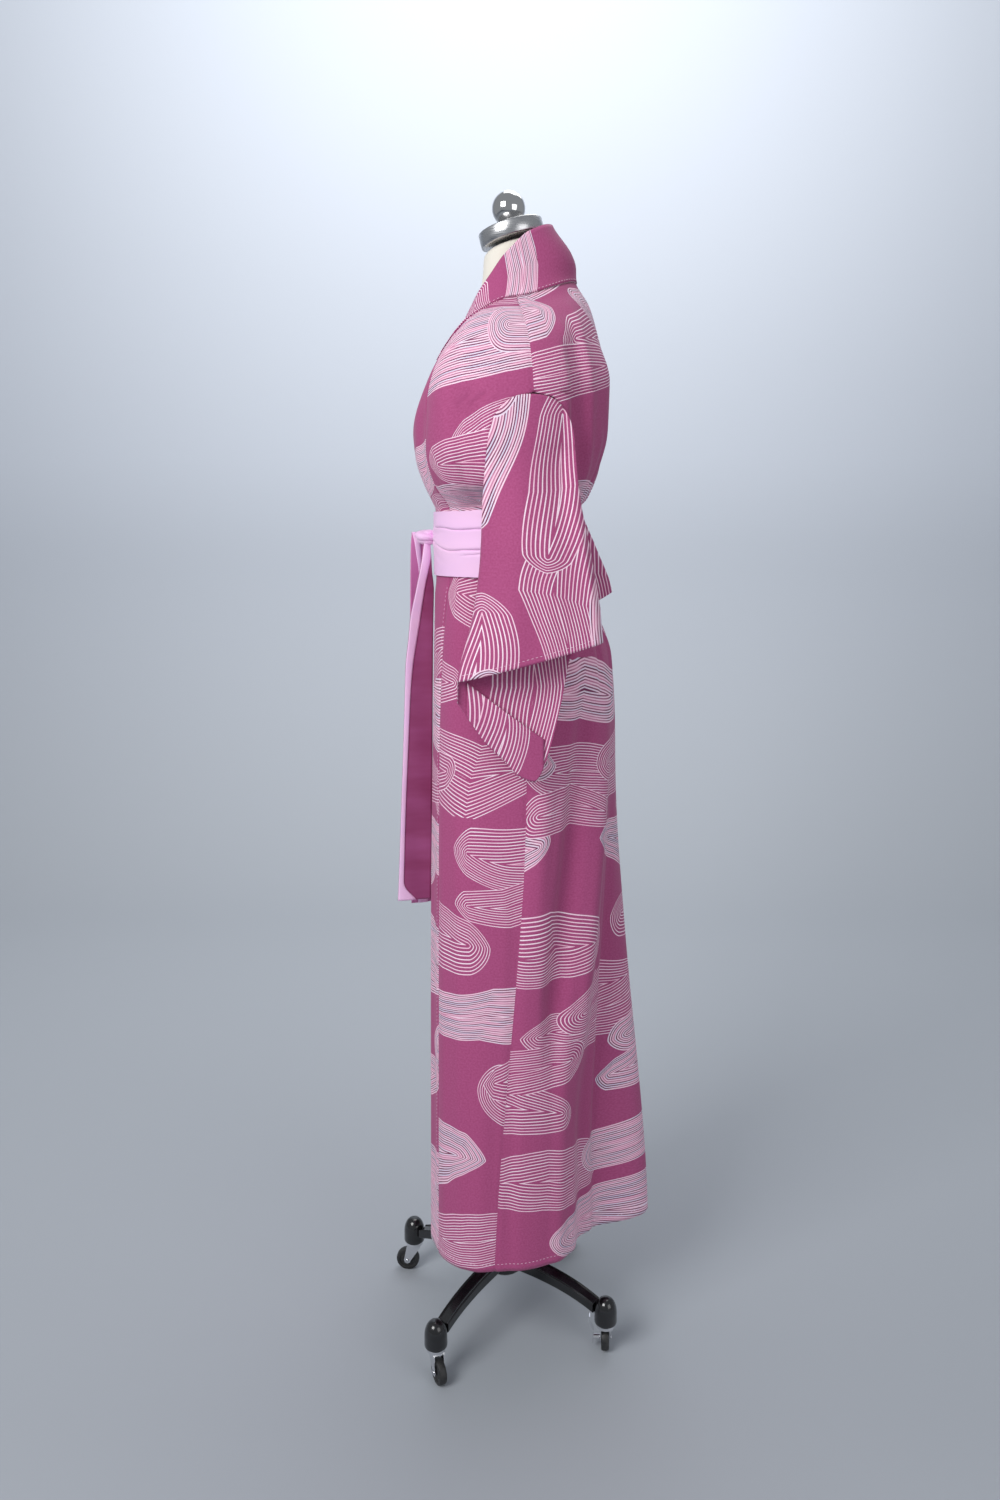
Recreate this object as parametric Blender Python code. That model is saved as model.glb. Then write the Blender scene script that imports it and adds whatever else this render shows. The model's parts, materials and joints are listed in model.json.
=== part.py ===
"""Kimono robe tied with a sash, on a limbless dress form with a four-legged caster base.

Metres, +Z up, front towards -Y, the wearer's left towards +X. Lengths are worked out about
the pole's axis, and the parent empty then carries everything to the part's own origin.
"""
import bmesh
import bpy
import math
from collections import namedtuple
from mathutils import Matrix, Vector

# Driving dimensions of the cloth
CLOTH = 0.0014          # one layer of the robe
COLLAR_CLOTH = 0.0026   # the folded collar band
COVER_CLOTH = 0.0010    # the half collar sewn over the band
SASH_CLOTH = 0.0018     # the lined sash
SEAM_GAP = 0.0004       # between pieces that are sewn together
SASH_EASE = 0.0007      # the sash's looseness over what it is wound round
LAP_LIFT = 0.0046       # the left front lies this far over the right front
EDGE_LIFT = 0.0016      # and its free edge that much further
LAP_FROM = 98.0         # angles from the centre back where each lift starts, and how long it takes
LAP_OVER = 22.0
EDGE_FROM = 200.0
EDGE_OVER = 20.0

# Driving dimensions of the stand
POLE_Y = -0.0235        # the pole's axis behind the part's origin
POLE_RADIUS = 0.0125
CASTER_CIRCLE = 0.192   # radius of the circle through the caster stems
FIRST_LEG_ANGLE = -33.8 # degrees from +X to the leg nearest the viewer's left
HUB_RADIUS = 0.030
HUB_TOP = 0.128
HUB_BOTTOM = 0.080
HUB_SHOULDER = 0.016    # full width up to this far above the legs' middle
HUB_NECK_RADIUS = 0.020
HUB_EDGE = 0.004
HUB_TOP_EDGE = 0.002
CAP_RADIUS = 0.0175     # the domed caps over the caster stems
CAP_BOTTOM = 0.056
CAP_TOP = 0.0995
CAP_FOOT_INSET = 0.003
CAP_FOOT_RISE = 0.005
WHEEL_RADIUS = 0.020
WHEEL_WIDTH = 0.0125
TREAD_ROUND = 0.0022
LEG_HUB_Z = 0.100
LEG_DROP = 0.030        # how far the leg's middle falls from the hub to the caster circle
LEG_HALF_WIDTH = 0.011
LEG_HALF_HEIGHT = 0.011
LEG_END_HALF_WIDTH = 0.0088
LEG_END_HALF_HEIGHT = 0.0092
LEG_ARCH = 2.6          # power of the fall along the leg
LEG_SQUARENESS = 4      # power of the section's rounded square
LEG_SIDES = 12
FORK_TOP = 0.050
FORK_PLATE = 0.0025
FORK_NECK = 0.011       # half the cheek's length at the top
FORK_NECK_DROP = 0.004
FORK_FOOT = 0.006       # radius of the cheek's round foot about the axle
FORK_FRONT_BULGE = 0.002
RING_SINK = 0.0006
RING_EDGE = 0.0015
SWIVEL_RING_RADIUS = 0.0145
TRAIL = 0.012           # from the swivel axis to the axle
CASTER_REACH = 0.020    # no cheek reaches further from the swivel axis
WHEEL_PLAY = 0.001
CHEEK = 0.0016
FIT_GAP = 0.0004        # between pieces that stand on one another
Caster = namedtuple("Caster", "trail_angle brake")
CASTERS = (Caster(25.0, False), Caster(175.0, True), Caster(130.0, False), Caster(-95.0, False))
LEVER_STRIP = 0.0016
LEVER_WIDTH = 0.0095
LEVER_BOSS_RADIUS = 0.0042
LEVER_PLATE_Y = 0.0185  # the lever's plate stands this far beside the wheel's middle
LEVER_PAD_Y = 0.0245
LEVER_FOOT_Z = -0.009
LEVER_BEND_Z = 0.014
LEVER_PAD_Z = 0.026
LEVER_TOP_Z = 0.038

# Driving dimensions of the dress form
TORSO_BOTTOM = 0.885
CAP_TILT = math.radians(15)
NECK_CAP_RADIUS = 0.046
NECK_CAP_THICKNESS = 0.020
CAP_EDGE = 0.002
BALL_RADIUS = 0.0235
BALL_STEM = 0.0010
BALL_STEM_RADIUS = 0.009
BALL_Y = 0.0045         # the ball stands this far behind the cap's middle
SHOULDER_CLEARANCE = 0.0018
COLLAR_CLEARANCE = 0.0028
COLLAR_CLEAR_FROM = 10.0    # degrees off the shoulder line where the collar needs that clearance
COLLAR_CLEAR_OVER = 14.0
COLLAR_CLEAR_LEVEL = 2.0    # and all round above this girth level
COLLAR_CLEAR_LEVELS = 0.5
TORSO_FRONT_POWER = 2.2
TORSO_BACK_POWER = 2.1

# Girths of the robe from the collar's top edge to the hem. Heights at the side, the centre
# front and the centre back, then half the width and the depth in front of and behind the
# pole, and how square the ring is in front and behind.
Girth = namedtuple("Girth", "name side_z front_z back_z half_width front back front_power back_power")
GIRTHS = (
    Girth("collar top", 1.690, 1.612, 1.708, 0.060, 0.046, 0.0640, 2.0, 2.0),
    Girth("neck seam", 1.600, 1.556, 1.633, 0.084, 0.060, 0.0980, 2.0, 2.0),
    Girth("yoke", 1.572, 1.505, 1.600, 0.126, 0.090, 0.1180, 2.1, 2.1),
    Girth("shoulder", 1.528, 1.462, 1.560, 0.174, 0.114, 0.1300, 2.2, 2.2),
    Girth("sleeve seam", 1.462, 1.424, 1.500, 0.203, 0.127, 0.1425, 2.3, 2.3),
    Girth("chest", 1.400, 1.390, 1.440, 0.206, 0.124, 0.1415, 2.3, 2.3),
    Girth("blouse", 1.354, 1.354, 1.380, 0.188, 0.112, 0.1350, 2.2, 2.2),
    Girth("above sash", 1.333, 1.333, 1.338, 0.150, 0.102, 0.1200, 2.1, 2.1),
    Girth("sash top", 1.318, 1.318, 1.318, 0.134, 0.097, 0.1080, 2.1, 2.1),
    Girth("sash bottom", 1.224, 1.224, 1.224, 0.134, 0.097, 0.1080, 2.1, 2.1),
    Girth("below sash", 1.198, 1.198, 1.198, 0.141, 0.099, 0.1200, 2.2, 2.1),
    Girth("high hip", 1.110, 1.110, 1.110, 0.158, 0.101, 0.1570, 2.5, 2.1),
    Girth("hip", 0.980, 0.980, 0.980, 0.167, 0.103, 0.1660, 2.8, 2.0),
    Girth("thigh", 0.780, 0.780, 0.780, 0.168, 0.105, 0.1630, 3.0, 2.0),
    Girth("knee", 0.550, 0.550, 0.550, 0.167, 0.108, 0.1550, 3.1, 2.0),
    Girth("shin", 0.350, 0.350, 0.350, 0.168, 0.110, 0.1500, 3.2, 2.0),
    Girth("hem", 0.190, 0.190, 0.190, 0.169, 0.112, 0.1480, 3.2, 2.0),
)
SASH_TOP_LEVEL = 8.05
SASH_BOTTOM_LEVEL = 8.95
COLLAR_END_LEVEL = 13.0
HEM_LEVEL = 16.0

# The largest folds of the robe. Angles run from the centre back round by the left side, at
# the fold's top and bottom, a fold reaches its full depth at the height called full, and a
# positive depth stands out.
Fold = namedtuple("Fold", "name top full bottom end top_angle bottom_angle half_width depth")
FOLDS = (
    Fold("centre back flare", 1.02, 0.10, 0.00, -0.20, 0, 0, 24, 0.091),
    Fold("left back trough", 1.16, 0.90, 0.62, 0.45, 42, 63, 11, -0.016),
    Fold("left back ridge", 1.10, 0.82, 0.62, 0.40, 26, 44, 11, 0.010),
    Fold("left hem trough", 0.66, 0.36, 0.00, -0.20, 42, 34, 13, -0.012),
    Fold("left hip ridge", 1.12, 0.95, 0.80, 0.60, 66, 74, 9, 0.006),
    Fold("right back trough", 1.14, 0.86, 0.60, 0.42, 318, 300, 11, -0.015),
    Fold("right back ridge", 1.10, 0.84, 0.58, 0.38, 334, 318, 11, 0.009),
    Fold("right hem trough", 0.62, 0.34, 0.00, -0.20, 320, 325, 13, -0.011),
    Fold("left front drape", 1.10, 0.70, 0.00, -0.20, 150, 143, 10, 0.004),
    Fold("right front drape", 1.05, 0.70, 0.00, -0.20, 216, 222, 10, -0.004),
    Fold("collar stand", 1.708, 1.668, 1.662, 1.628, 0, 0, 70, 0.0105),
    Fold("left back armhole trough", 1.56, 1.50, 1.40, 1.34, 57, 58, 9, -0.014),
    Fold("left front armhole trough", 1.49, 1.43, 1.39, 1.33, 108, 105, 9, -0.010),
    Fold("right back armhole trough", 1.56, 1.50, 1.40, 1.34, 303, 302, 9, -0.013),
    Fold("right front armhole trough", 1.49, 1.43, 1.39, 1.33, 252, 255, 9, -0.010),
    Fold("left shoulder blade", 1.56, 1.49, 1.42, 1.35, 30, 34, 14, 0.008),
    Fold("right shoulder blade", 1.56, 1.49, 1.42, 1.35, 330, 326, 14, 0.007),
    Fold("left bust fold", 1.50, 1.43, 1.37, 1.33, 126, 140, 12, -0.007),
    Fold("right bust fold", 1.50, 1.43, 1.37, 1.33, 232, 218, 12, -0.006),
)

# The collar band, from the centre back of the neck down the left lapel. Each station gives
# the girth level and the angle of the seam, and those of the band's folded free edge. The
# right half is the same the other way round.
Station = namedtuple("Station", "seam_level seam_angle free_level free_angle")
COLLAR = (
    Station(1.00, 0, 0.00, 0),
    Station(1.00, 30, 0.00, 30),
    Station(1.00, 60, 0.05, 60),
    Station(1.00, 86, 0.27, 87),
    Station(1.25, 103, 0.60, 110),
    Station(2.00, 120, 1.08, 137),
    Station(2.50, 137, 1.62, 159),
    Station(3.00, 154, 2.15, 177),
    Station(4.00, 171, 3.20, 192),
    Station(5.00, 183, 4.20, 204),
    Station(6.00, 194, 5.40, 215),
    Station(7.00, 202, 6.60, 224),
    Station(8.00, 208, 7.80, 232),
    Station(9.00, 217, 9.00, 242),
    Station(10.0, 219, 10.0, 243),
    Station(11.0, 220, 11.0, 243),
    Station(12.0, 221, 12.0, 243),
    Station(COLLAR_END_LEVEL, 222, COLLAR_END_LEVEL, 243),
)
NECK_STATIONS = (0.0, 0.6, 1.2, 1.8, 2.4, 3.0)
COVER_END_LEVEL = 2.5
NECK_SEAM_LEVEL = 1.012
SEAM_LEVEL_GAP = 0.010
OVERLAP_SEAM_ANGLE = 130
OVERLAP_TOP_LEVEL = 2.36
OVERLAP_EDGE_ANGLE = 240
SIDE_SWING = 16.0       # the side seam swings forward this far, from this height down
SIDE_SWING_TOP = 0.95
SIDE_SWING_HEIGHT = 0.85

# The left armhole: an upright oval about this angle, where the sleeve is sewn in
ARMHOLE_ANGLE = 80
ARMHOLE_HALF_ANGLE = 14
ARMHOLE_HEIGHT = 1.393
ARMHOLE_HALF_HEIGHT = 0.067
ARMHOLE_SQUARENESS = 2.6

# A hanging sleeve, by height: the pole-frame Y of its front and back folds, and the X of its
# outer and inner walls, for the left one and the right one.
SleeveRow = namedtuple("SleeveRow", "z front back outer inner")
SLEEVES = {
    "left": (
        SleeveRow(1.462, -0.018, 0.086, 0.2035, 0.196),
        SleeveRow(1.400, -0.024, 0.089, 0.219, 0.199),
        SleeveRow(1.330, -0.030, 0.096, 0.229, 0.193),
        SleeveRow(1.260, -0.033, 0.110, 0.235, 0.190),
        SleeveRow(1.180, -0.043, 0.124, 0.240, 0.190),
        SleeveRow(1.090, -0.064, 0.130, 0.243, 0.196),
        SleeveRow(0.950, -0.066, 0.130, 0.236, 0.203),
    ),
    "right": (
        SleeveRow(1.462, -0.018, 0.086, 0.2035, 0.196),
        SleeveRow(1.400, -0.022, 0.092, 0.219, 0.195),
        SleeveRow(1.330, -0.018, 0.120, 0.229, 0.191),
        SleeveRow(1.260, -0.014, 0.152, 0.235, 0.190),
        SleeveRow(1.190, -0.014, 0.179, 0.240, 0.190),
        SleeveRow(1.090, -0.020, 0.186, 0.243, 0.196),
        SleeveRow(0.950, -0.020, 0.186, 0.236, 0.203),
    ),
}
# The sleeve's lower edges: the wrist edge, which rises to the back, and the outline of the
# bag that hangs below it, by distance behind the sleeve's front fold.
WRIST_FRONT_Z = 1.093
WRIST_BACK_Z = 1.145
SLEEVE_SPAN = 0.194
FOOT_RAISE = {"left": 0.0, "right": 0.045}     # the lower edge rises this much more to the back
BagPoint = namedtuple("BagPoint", "across z")
BAG_OUTLINE = (
    BagPoint(0.000, 1.064), BagPoint(0.014, 1.040), BagPoint(0.036, 1.009), BagPoint(0.060, 0.986),
    BagPoint(0.086, 0.960), BagPoint(0.104, 0.954), BagPoint(0.114, 0.970), BagPoint(0.126, 1.008),
    BagPoint(0.140, 1.070), BagPoint(0.150, 1.128), BagPoint(0.194, 1.145),
)
CUFF_LIP_FRONT_Z = 1.092
CUFF_LIP_BACK_Z = 1.012
CUFF_FROM = 0.010
CUFF_TO = 0.118
CUFF_BELLY = 0.010
CUFF_FOOT_MARGIN = 0.002
BAG_MARGIN = 0.02       # the bag's outer layer stops this share short of its ends
BESIDE_ARM_LEVEL = 4.5  # the girths beside the arm, and how far apart they lie in height
BESIDE_ARM_TOP = 2.0
BESIDE_ARM_FOOT = 8.0
LEVEL_SPACING = 0.06
SEARCH_STEPS = 8
UNDERARM_DIP = 0.150    # the inner wall starts this far below the armhole's middle
SLEEVE_FREE_HEIGHT = 1.26   # from here down the sleeve hangs free of the body's shape
ARMHOLE_BACK_Y = 0.074  # the body's curve is followed up to here
SLEEVE_LIFT = 0.0032    # the sleeve's edge lies this far outside the body panel
SLEEVE_MIDDLE = 0.35    # the flattened tube's folds lie at this share from inner to outer wall
SLEEVE_ROUNDNESS = 0.8  # power of the tube's section, 1 for an oval

# The sash and its ends, by height: the X and Y of the ribbon's outer and inner edges
RibbonRow = namedtuple("RibbonRow", "z outer_x outer_y inner_x inner_y")
SASH_ENDS = {
    "sash_end_left": (
        RibbonRow(1.2650, 0.024, -0.1260, 0.016, -0.1150),
        RibbonRow(1.215, 0.032, -0.1270, 0.022, -0.1140),
        RibbonRow(1.150, 0.032, -0.1380, 0.020, -0.1140),
        RibbonRow(1.090, 0.029, -0.1470, 0.018, -0.1150),
        RibbonRow(0.990, 0.027, -0.1530, 0.016, -0.1150),
        RibbonRow(0.860, 0.026, -0.1600, 0.015, -0.1160),
        RibbonRow(0.728, 0.025, -0.1680, 0.014, -0.1180),
    ),
    "sash_end_right": (
        RibbonRow(1.2650, 0.006, -0.1325, 0.002, -0.1165),
        RibbonRow(1.235, 0.007, -0.1390, -0.002, -0.1155),
        RibbonRow(1.180, 0.007, -0.1405, -0.006, -0.1145),
        RibbonRow(1.110, 0.006, -0.1440, -0.008, -0.1140),
        RibbonRow(1.000, 0.003, -0.1460, -0.010, -0.1140),
        RibbonRow(0.860, 0.002, -0.1480, -0.010, -0.1140),
        RibbonRow(0.716, 0.001, -0.1470, -0.010, -0.1150),
    ),
}

# The dress form: its round neck, the robe's girth levels that its shoulders follow, and the
# torso below them. Neck rows tilt more towards the top.
NeckRow = namedtuple("NeckRow", "y z radius tilt")
NECK_ROWS = (
    NeckRow(0.0110, 1.690, 0.0420, 1.0),
    NeckRow(0.0110, 1.668, 0.0424, 0.8),
    NeckRow(0.0120, 1.646, 0.0445, 0.6),
    NeckRow(0.0135, 1.626, 0.0500, 0.5),
)
TORSO_SHOULDER_LEVELS = (1.0, 1.5, 2.0, 2.5, 3.0)
TorsoRow = namedtuple("TorsoRow", "side_z front_z back_z half_width front back")
TORSO_ROWS = (
    TorsoRow(1.480, 1.425, 1.500, 0.180, 0.112, 0.128),
    TorsoRow(1.430, 1.390, 1.440, 0.166, 0.113, 0.126),
    TorsoRow(1.375, 1.350, 1.375, 0.142, 0.100, 0.116),
    TorsoRow(1.320, 1.310, 1.315, 0.124, 0.089, 0.101),
    TorsoRow(1.270, 1.270, 1.270, 0.119, 0.086, 0.099),
    TorsoRow(1.200, 1.200, 1.200, 0.126, 0.088, 0.107),
    TorsoRow(1.110, 1.110, 1.110, 0.144, 0.091, 0.130),
    TorsoRow(1.000, 1.000, 1.000, 0.152, 0.092, 0.144),
    TorsoRow(0.930, 0.930, 0.930, 0.149, 0.088, 0.140),
    TorsoRow(0.897, 0.897, 0.897, 0.142, 0.081, 0.133),
    TorsoRow(TORSO_BOTTOM, TORSO_BOTTOM, TORSO_BOTTOM, 0.130, 0.070, 0.121),
)

# The sash's tucks: how far down the sash, and how far out there
Tuck = namedtuple("Tuck", "down lift")
SASH_TUCKS = (Tuck(0.0, 0.0008), Tuck(0.20, 0.0011), Tuck(0.225, 0.0002), Tuck(0.53, 0.0011),
              Tuck(0.555, 0.0002), Tuck(1.0, 0.0004))
SASH_LIFT_FROM = 78.0   # angles where the sash starts to lie over the lapped fronts, and ends
SASH_LIFT_OVER = 26.0
SASH_LIFT_END = 296.0
SASH_LIFT_FALL = 40.0
KNOT_CENTRE = (0.010, -0.1208, 1.279)
KNOT_HALF_SIZE = (0.025, 0.0135, 0.0145)
KNOT_PINCH = 0.10
KNOT_PINCH_WIDTH = 0.35
KNOT_SEGMENTS = 14
KNOT_RINGS = 10

# How finely the walls are divided
BACK_COLUMNS = 9
FRONT_COLUMNS = 5
FRONT_ANGLES = (100.0, 110.0, 120.0)
OVERLAP_COLUMNS = 11
COLLAR_COLUMNS = 3
SKIRT_LEVELS = (16.0, 15.3, 14.5, 13.7, 13.0, 12.5, 12.0, 11.5, 11.0, 10.5, 10.0, 9.5, 9.0)
CHEST_LEVELS = (8.0, 7.5, 7.0, 6.5, 6.0, 5.6, 5.0, 4.5, 4.2, 4.0, 3.5, 3.0, 2.5)
YOKE_LEVELS = (2.0, 1.5, 1.25)
SLEEVE_SIDES = 22
SLEEVE_ROWS = 12
BAG_ROWS = 5
BAG_COLUMNS = 9
SASH_SIDES = 36
SASH_END_ROWS = 18
TORSO_SIDES = 36
LEG_STEPS = 8
BALL_STEPS = 9
FORK_FOOT_STEPS = 4
WHEEL_SIDES = 24
CAP_SIDES = 32
HUB_SIDES = 24
DOME_STEPS = 4
RING_SIDES = 20


def start_empty():
    """Removes what the scene already holds, and gives the empty that carries the part."""
    for old in list(bpy.data.objects):
        bpy.data.objects.remove(old, do_unlink=True)
    axis = bpy.data.objects.new("pole_axis", None)
    axis.location = (0.0, POLE_Y, 0.0)
    bpy.context.collection.objects.link(axis)
    return axis


def finish_material(name, colour, roughness, metallic=0.0):
    """A Principled material of one colour."""
    material = bpy.data.materials.new(name)
    material.use_nodes = True
    shader = material.node_tree.nodes["Principled BSDF"]
    shader.inputs["Base Color"].default_value = (*colour, 1.0)
    shader.inputs["Roughness"].default_value = roughness
    shader.inputs["Metallic"].default_value = metallic
    return material


def place(bm, name, material, parent, origin=(0.0, 0.0, 0.0)):
    """Makes a bmesh, drawn about the parent's axis, a named object with its own origin."""
    bmesh.ops.recalc_face_normals(bm, faces=bm.faces[:])
    bmesh.ops.translate(bm, verts=bm.verts[:], vec=-Vector(origin))
    mesh = bpy.data.meshes.new(name)
    bm.to_mesh(mesh)
    bm.free()
    mesh.shade_smooth()
    mesh.set_sharp_from_angle(angle=math.radians(40))
    mesh.materials.append(material)
    node = bpy.data.objects.new(name, mesh)
    node.location = origin
    node.parent = parent
    bpy.context.collection.objects.link(node)
    return node


def ease(value):
    """Smooth step from 0 to 1."""
    value = min(max(value, 0.0), 1.0)
    return value * value * (3.0 - 2.0 * value)


def glide(values, position):
    """Smooth value between the entries of a list, which never overshoots them."""
    position = min(max(position, 0.0), len(values) - 1.0)
    index = min(int(position), len(values) - 2)
    share = position - index
    steps = [after - before for before, after in zip(values, values[1:])]

    def slope(entry):
        if entry == 0 or entry == len(steps):
            return steps[min(entry, len(steps) - 1)]
        before, after = steps[entry - 1], steps[entry]
        return 2.0 * before * after / (before + after) if before * after > 0.0 else 0.0

    low, high = values[index], values[index + 1]
    square, cube = share * share, share ** 3
    return (low * (2 * cube - 3 * square + 1) + slope(index) * (cube - 2 * square + share)
            + high * (3 * square - 2 * cube) + slope(index + 1) * (cube - square))


def column(rows, name):
    """One named column of a table."""
    return [getattr(row, name) for row in rows]


def row_at(keys, value):
    """Position between the rows of a rising or falling column where it has a value."""
    falling = keys[0] > keys[-1]
    for index, (start, end) in enumerate(zip(keys, keys[1:])):
        inside = start >= value >= end if falling else start <= value <= end
        if inside and start != end:
            return index + (value - start) / (end - start)
    beyond = value < keys[-1] if falling else value > keys[-1]
    return len(keys) - 1.0 if beyond else 0.0


def read_table(rows, key, value, name):
    """A column's value where the key column has the given value, between rows."""
    return glide(column(rows, name), row_at(column(rows, key), value))


def oval_radius(angle, half_width, front, back, front_power=2.0, back_power=2.0):
    """Distance from the pole to a rounded oval at an angle from the centre back."""
    across, along = math.sin(angle), math.cos(angle)
    depth, power = (back, back_power) if along >= 0.0 else (front, front_power)
    return (abs(across / half_width) ** power + abs(along / depth) ** power) ** (-1.0 / power)


def fold_depth(degrees, height):
    """How far the folds move the cloth out at an angle and a height."""
    total = 0.0
    for fold in FOLDS:
        if height >= fold.top or height <= fold.end:
            continue
        rise = ease((fold.top - height) / (fold.top - fold.full))
        fall = ease((height - fold.end) / (fold.bottom - fold.end))
        way = (fold.top - height) / (fold.top - max(fold.bottom, 0.0))
        centre = fold.top_angle + (fold.bottom_angle - fold.top_angle) * min(way, 1.0)
        off = (degrees - centre + 180.0) % 360.0 - 180.0
        if abs(off) < fold.half_width:
            total += fold.depth * rise * fall * (0.5 + 0.5 * math.cos(math.pi * off / fold.half_width))
    return total


def robe_surface(degrees, level):
    """A point in the middle of the robe's cloth."""
    angle = math.radians(degrees)
    girth = [glide(column(GIRTHS, name), level) for name in Girth._fields[1:]]
    side_z, front_z, back_z, half_width, front, back, front_power, back_power = girth
    along = math.cos(angle)
    end_z = back_z if along >= 0.0 else front_z
    height = side_z + (end_z - side_z) * along * along
    radius = oval_radius(angle, half_width, front, back, front_power, back_power)
    radius += fold_depth(degrees, height)
    return Vector((radius * math.sin(angle), radius * along, height))


def framed(surface, u, v, u_step, v_step):
    """A surface's point and its unit normal."""
    point = surface(u, v)
    along_u = surface(u + u_step, v) - surface(u - u_step, v)
    along_v = surface(u, v + v_step) - surface(u, v - v_step)
    return point, along_u.cross(along_v).normalized()


def robe_frame(degrees, level, lift=0.0):
    """A robe point with its normal, moved out by the lift."""
    inside_level = min(max(level, 0.01), HEM_LEVEL - 0.01)
    point, normal = framed(robe_surface, degrees, inside_level, 0.5, 0.01)
    point = robe_surface(degrees, level)
    return point + normal * lift, normal


def lap_lift(degrees):
    """How far the left side lies out, so that its front passes over the right front."""
    lap = LAP_LIFT * ease((degrees - LAP_FROM) / LAP_OVER)
    return lap + EDGE_LIFT * ease((degrees - EDGE_FROM) / EDGE_OVER)


def thicken(name, points, faces, thickness, material, parent):
    """A closed wall: the faces of a sheet, moved half the thickness out and in."""
    bm = bmesh.new()
    tag = bm.verts.layers.int.new("point")
    corners = []
    for number, (point, _) in enumerate(points):
        corner = bm.verts.new(point)
        corner[tag] = number
        corners.append(corner)
    for face in faces:
        bm.faces.new([corners[number] for number in face])
    shell = bmesh.ops.extrude_face_region(bm, geom=bm.faces[:], use_keep_orig=True)
    outer = {item for item in shell["geom"] if isinstance(item, bmesh.types.BMVert)}
    for corner in bm.verts:
        point, normal = points[corner[tag]]
        corner.co = point + normal * (thickness / 2 if corner in outer else -thickness / 2)
    return place(bm, name, material, parent)


def grid_faces(rows, columns, closed=False):
    """Faces between the points of a grid, given row by row."""
    faces = []
    span = columns if closed else columns - 1
    for row in range(rows - 1):
        for step in range(span):
            after = (step + 1) % columns
            low, high = row * columns, (row + 1) * columns
            faces.append((low + step, low + after, high + after, high + step))
    return faces


def strip(name, rows, thickness, material, parent, closed=False):
    """A wall through rows of framed points."""
    points = [point for row in rows for point in row]
    return thicken(name, points, grid_faces(len(rows), len(rows[0]), closed), thickness, material, parent)


def lapel_station(level):
    """Position along the lapel where its seam is at a girth level."""
    return 3.0 + row_at(column(COLLAR[3:], "seam_level"), level)


def seam_angle(level):
    """Angle of the left collar seam at a girth level, for the edge of what it is sewn to."""
    return glide(column(COLLAR, "seam_angle"), lapel_station(level - SEAM_LEVEL_GAP))


def edge_gap(degrees, level):
    """The seam gap as an angle at a robe point."""
    point = robe_surface(degrees, level)
    return math.degrees(SEAM_GAP / math.hypot(point.x, point.y))


def squared_circle(share):
    """Half the width of a rounded square at a share of its half height."""
    return (1.0 - min(abs(share), 1.0) ** ARMHOLE_SQUARENESS) ** (1.0 / ARMHOLE_SQUARENESS)


def armhole_half_angle(level):
    """Half the armhole's width at a girth level, 0 above and below it."""
    height = glide(column(GIRTHS, "side_z"), level)
    off_middle = abs(height - ARMHOLE_HEIGHT) / ARMHOLE_HALF_HEIGHT
    return ARMHOLE_HALF_ANGLE * squared_circle(off_middle) if off_middle < 0.999 else 0.0


def side_angle(level):
    """Angle of the side seam, which swings forward towards the hem."""
    height = glide(column(GIRTHS, "side_z"), level)
    return ARMHOLE_ANGLE + SIDE_SWING * ease((SIDE_SWING_TOP - height) / SIDE_SWING_HEIGHT)


def front_angles(start, level):
    """Angles across a body panel's front, up to its seam with the overlap panel or the collar."""
    end = min(OVERLAP_SEAM_ANGLE, seam_angle(level))
    end -= edge_gap(end, level)
    if seam_angle(level) < OVERLAP_SEAM_ANGLE:
        return [start + (end - start) * step / FRONT_COLUMNS for step in range(1, FRONT_COLUMNS + 1)]
    return [0.5 * (start + FRONT_ANGLES[0]), *FRONT_ANGLES, end]


def body_panel(side, material, parent):
    """One body panel: the back and the front in one length over the shoulder.

    It is open at the armhole, and its front stops at the seam of the overlap panel or,
    higher up, at the collar.
    """
    turn = (lambda degrees: degrees) if side == "left" else (lambda degrees: 360.0 - degrees)
    lift = lap_lift if side == "left" else (lambda degrees: 0.0)
    points = []
    faces = []
    before = None
    for level in (*SKIRT_LEVELS, *CHEST_LEVELS, *YOKE_LEVELS, NECK_SEAM_LEVEL):
        centre = side_angle(level)
        open_half = armhole_half_angle(level)
        start = edge_gap(0.0, level) / 2
        back_end = centre - open_half
        front_start = centre + open_half
        row = []
        for step in range(BACK_COLUMNS + 1):
            degrees = start + (back_end - start) * step / BACK_COLUMNS
            row.append(len(points))
            points.append(robe_frame(turn(degrees), level, lift(degrees)))
        if open_half == 0.0:
            row.append(row[-1])
        else:
            row.append(len(points))
            points.append(robe_frame(turn(front_start), level, lift(front_start)))
        for degrees in front_angles(front_start, level):
            row.append(len(points))
            points.append(robe_frame(turn(degrees), level, lift(degrees)))
        if before is not None:
            for step in range(len(row) - 1):
                if step != BACK_COLUMNS:
                    faces.append((before[step], before[step + 1], row[step + 1], row[step]))
        before = row
    return thicken("body_panel_" + side, points, faces, CLOTH, material, parent)


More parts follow.
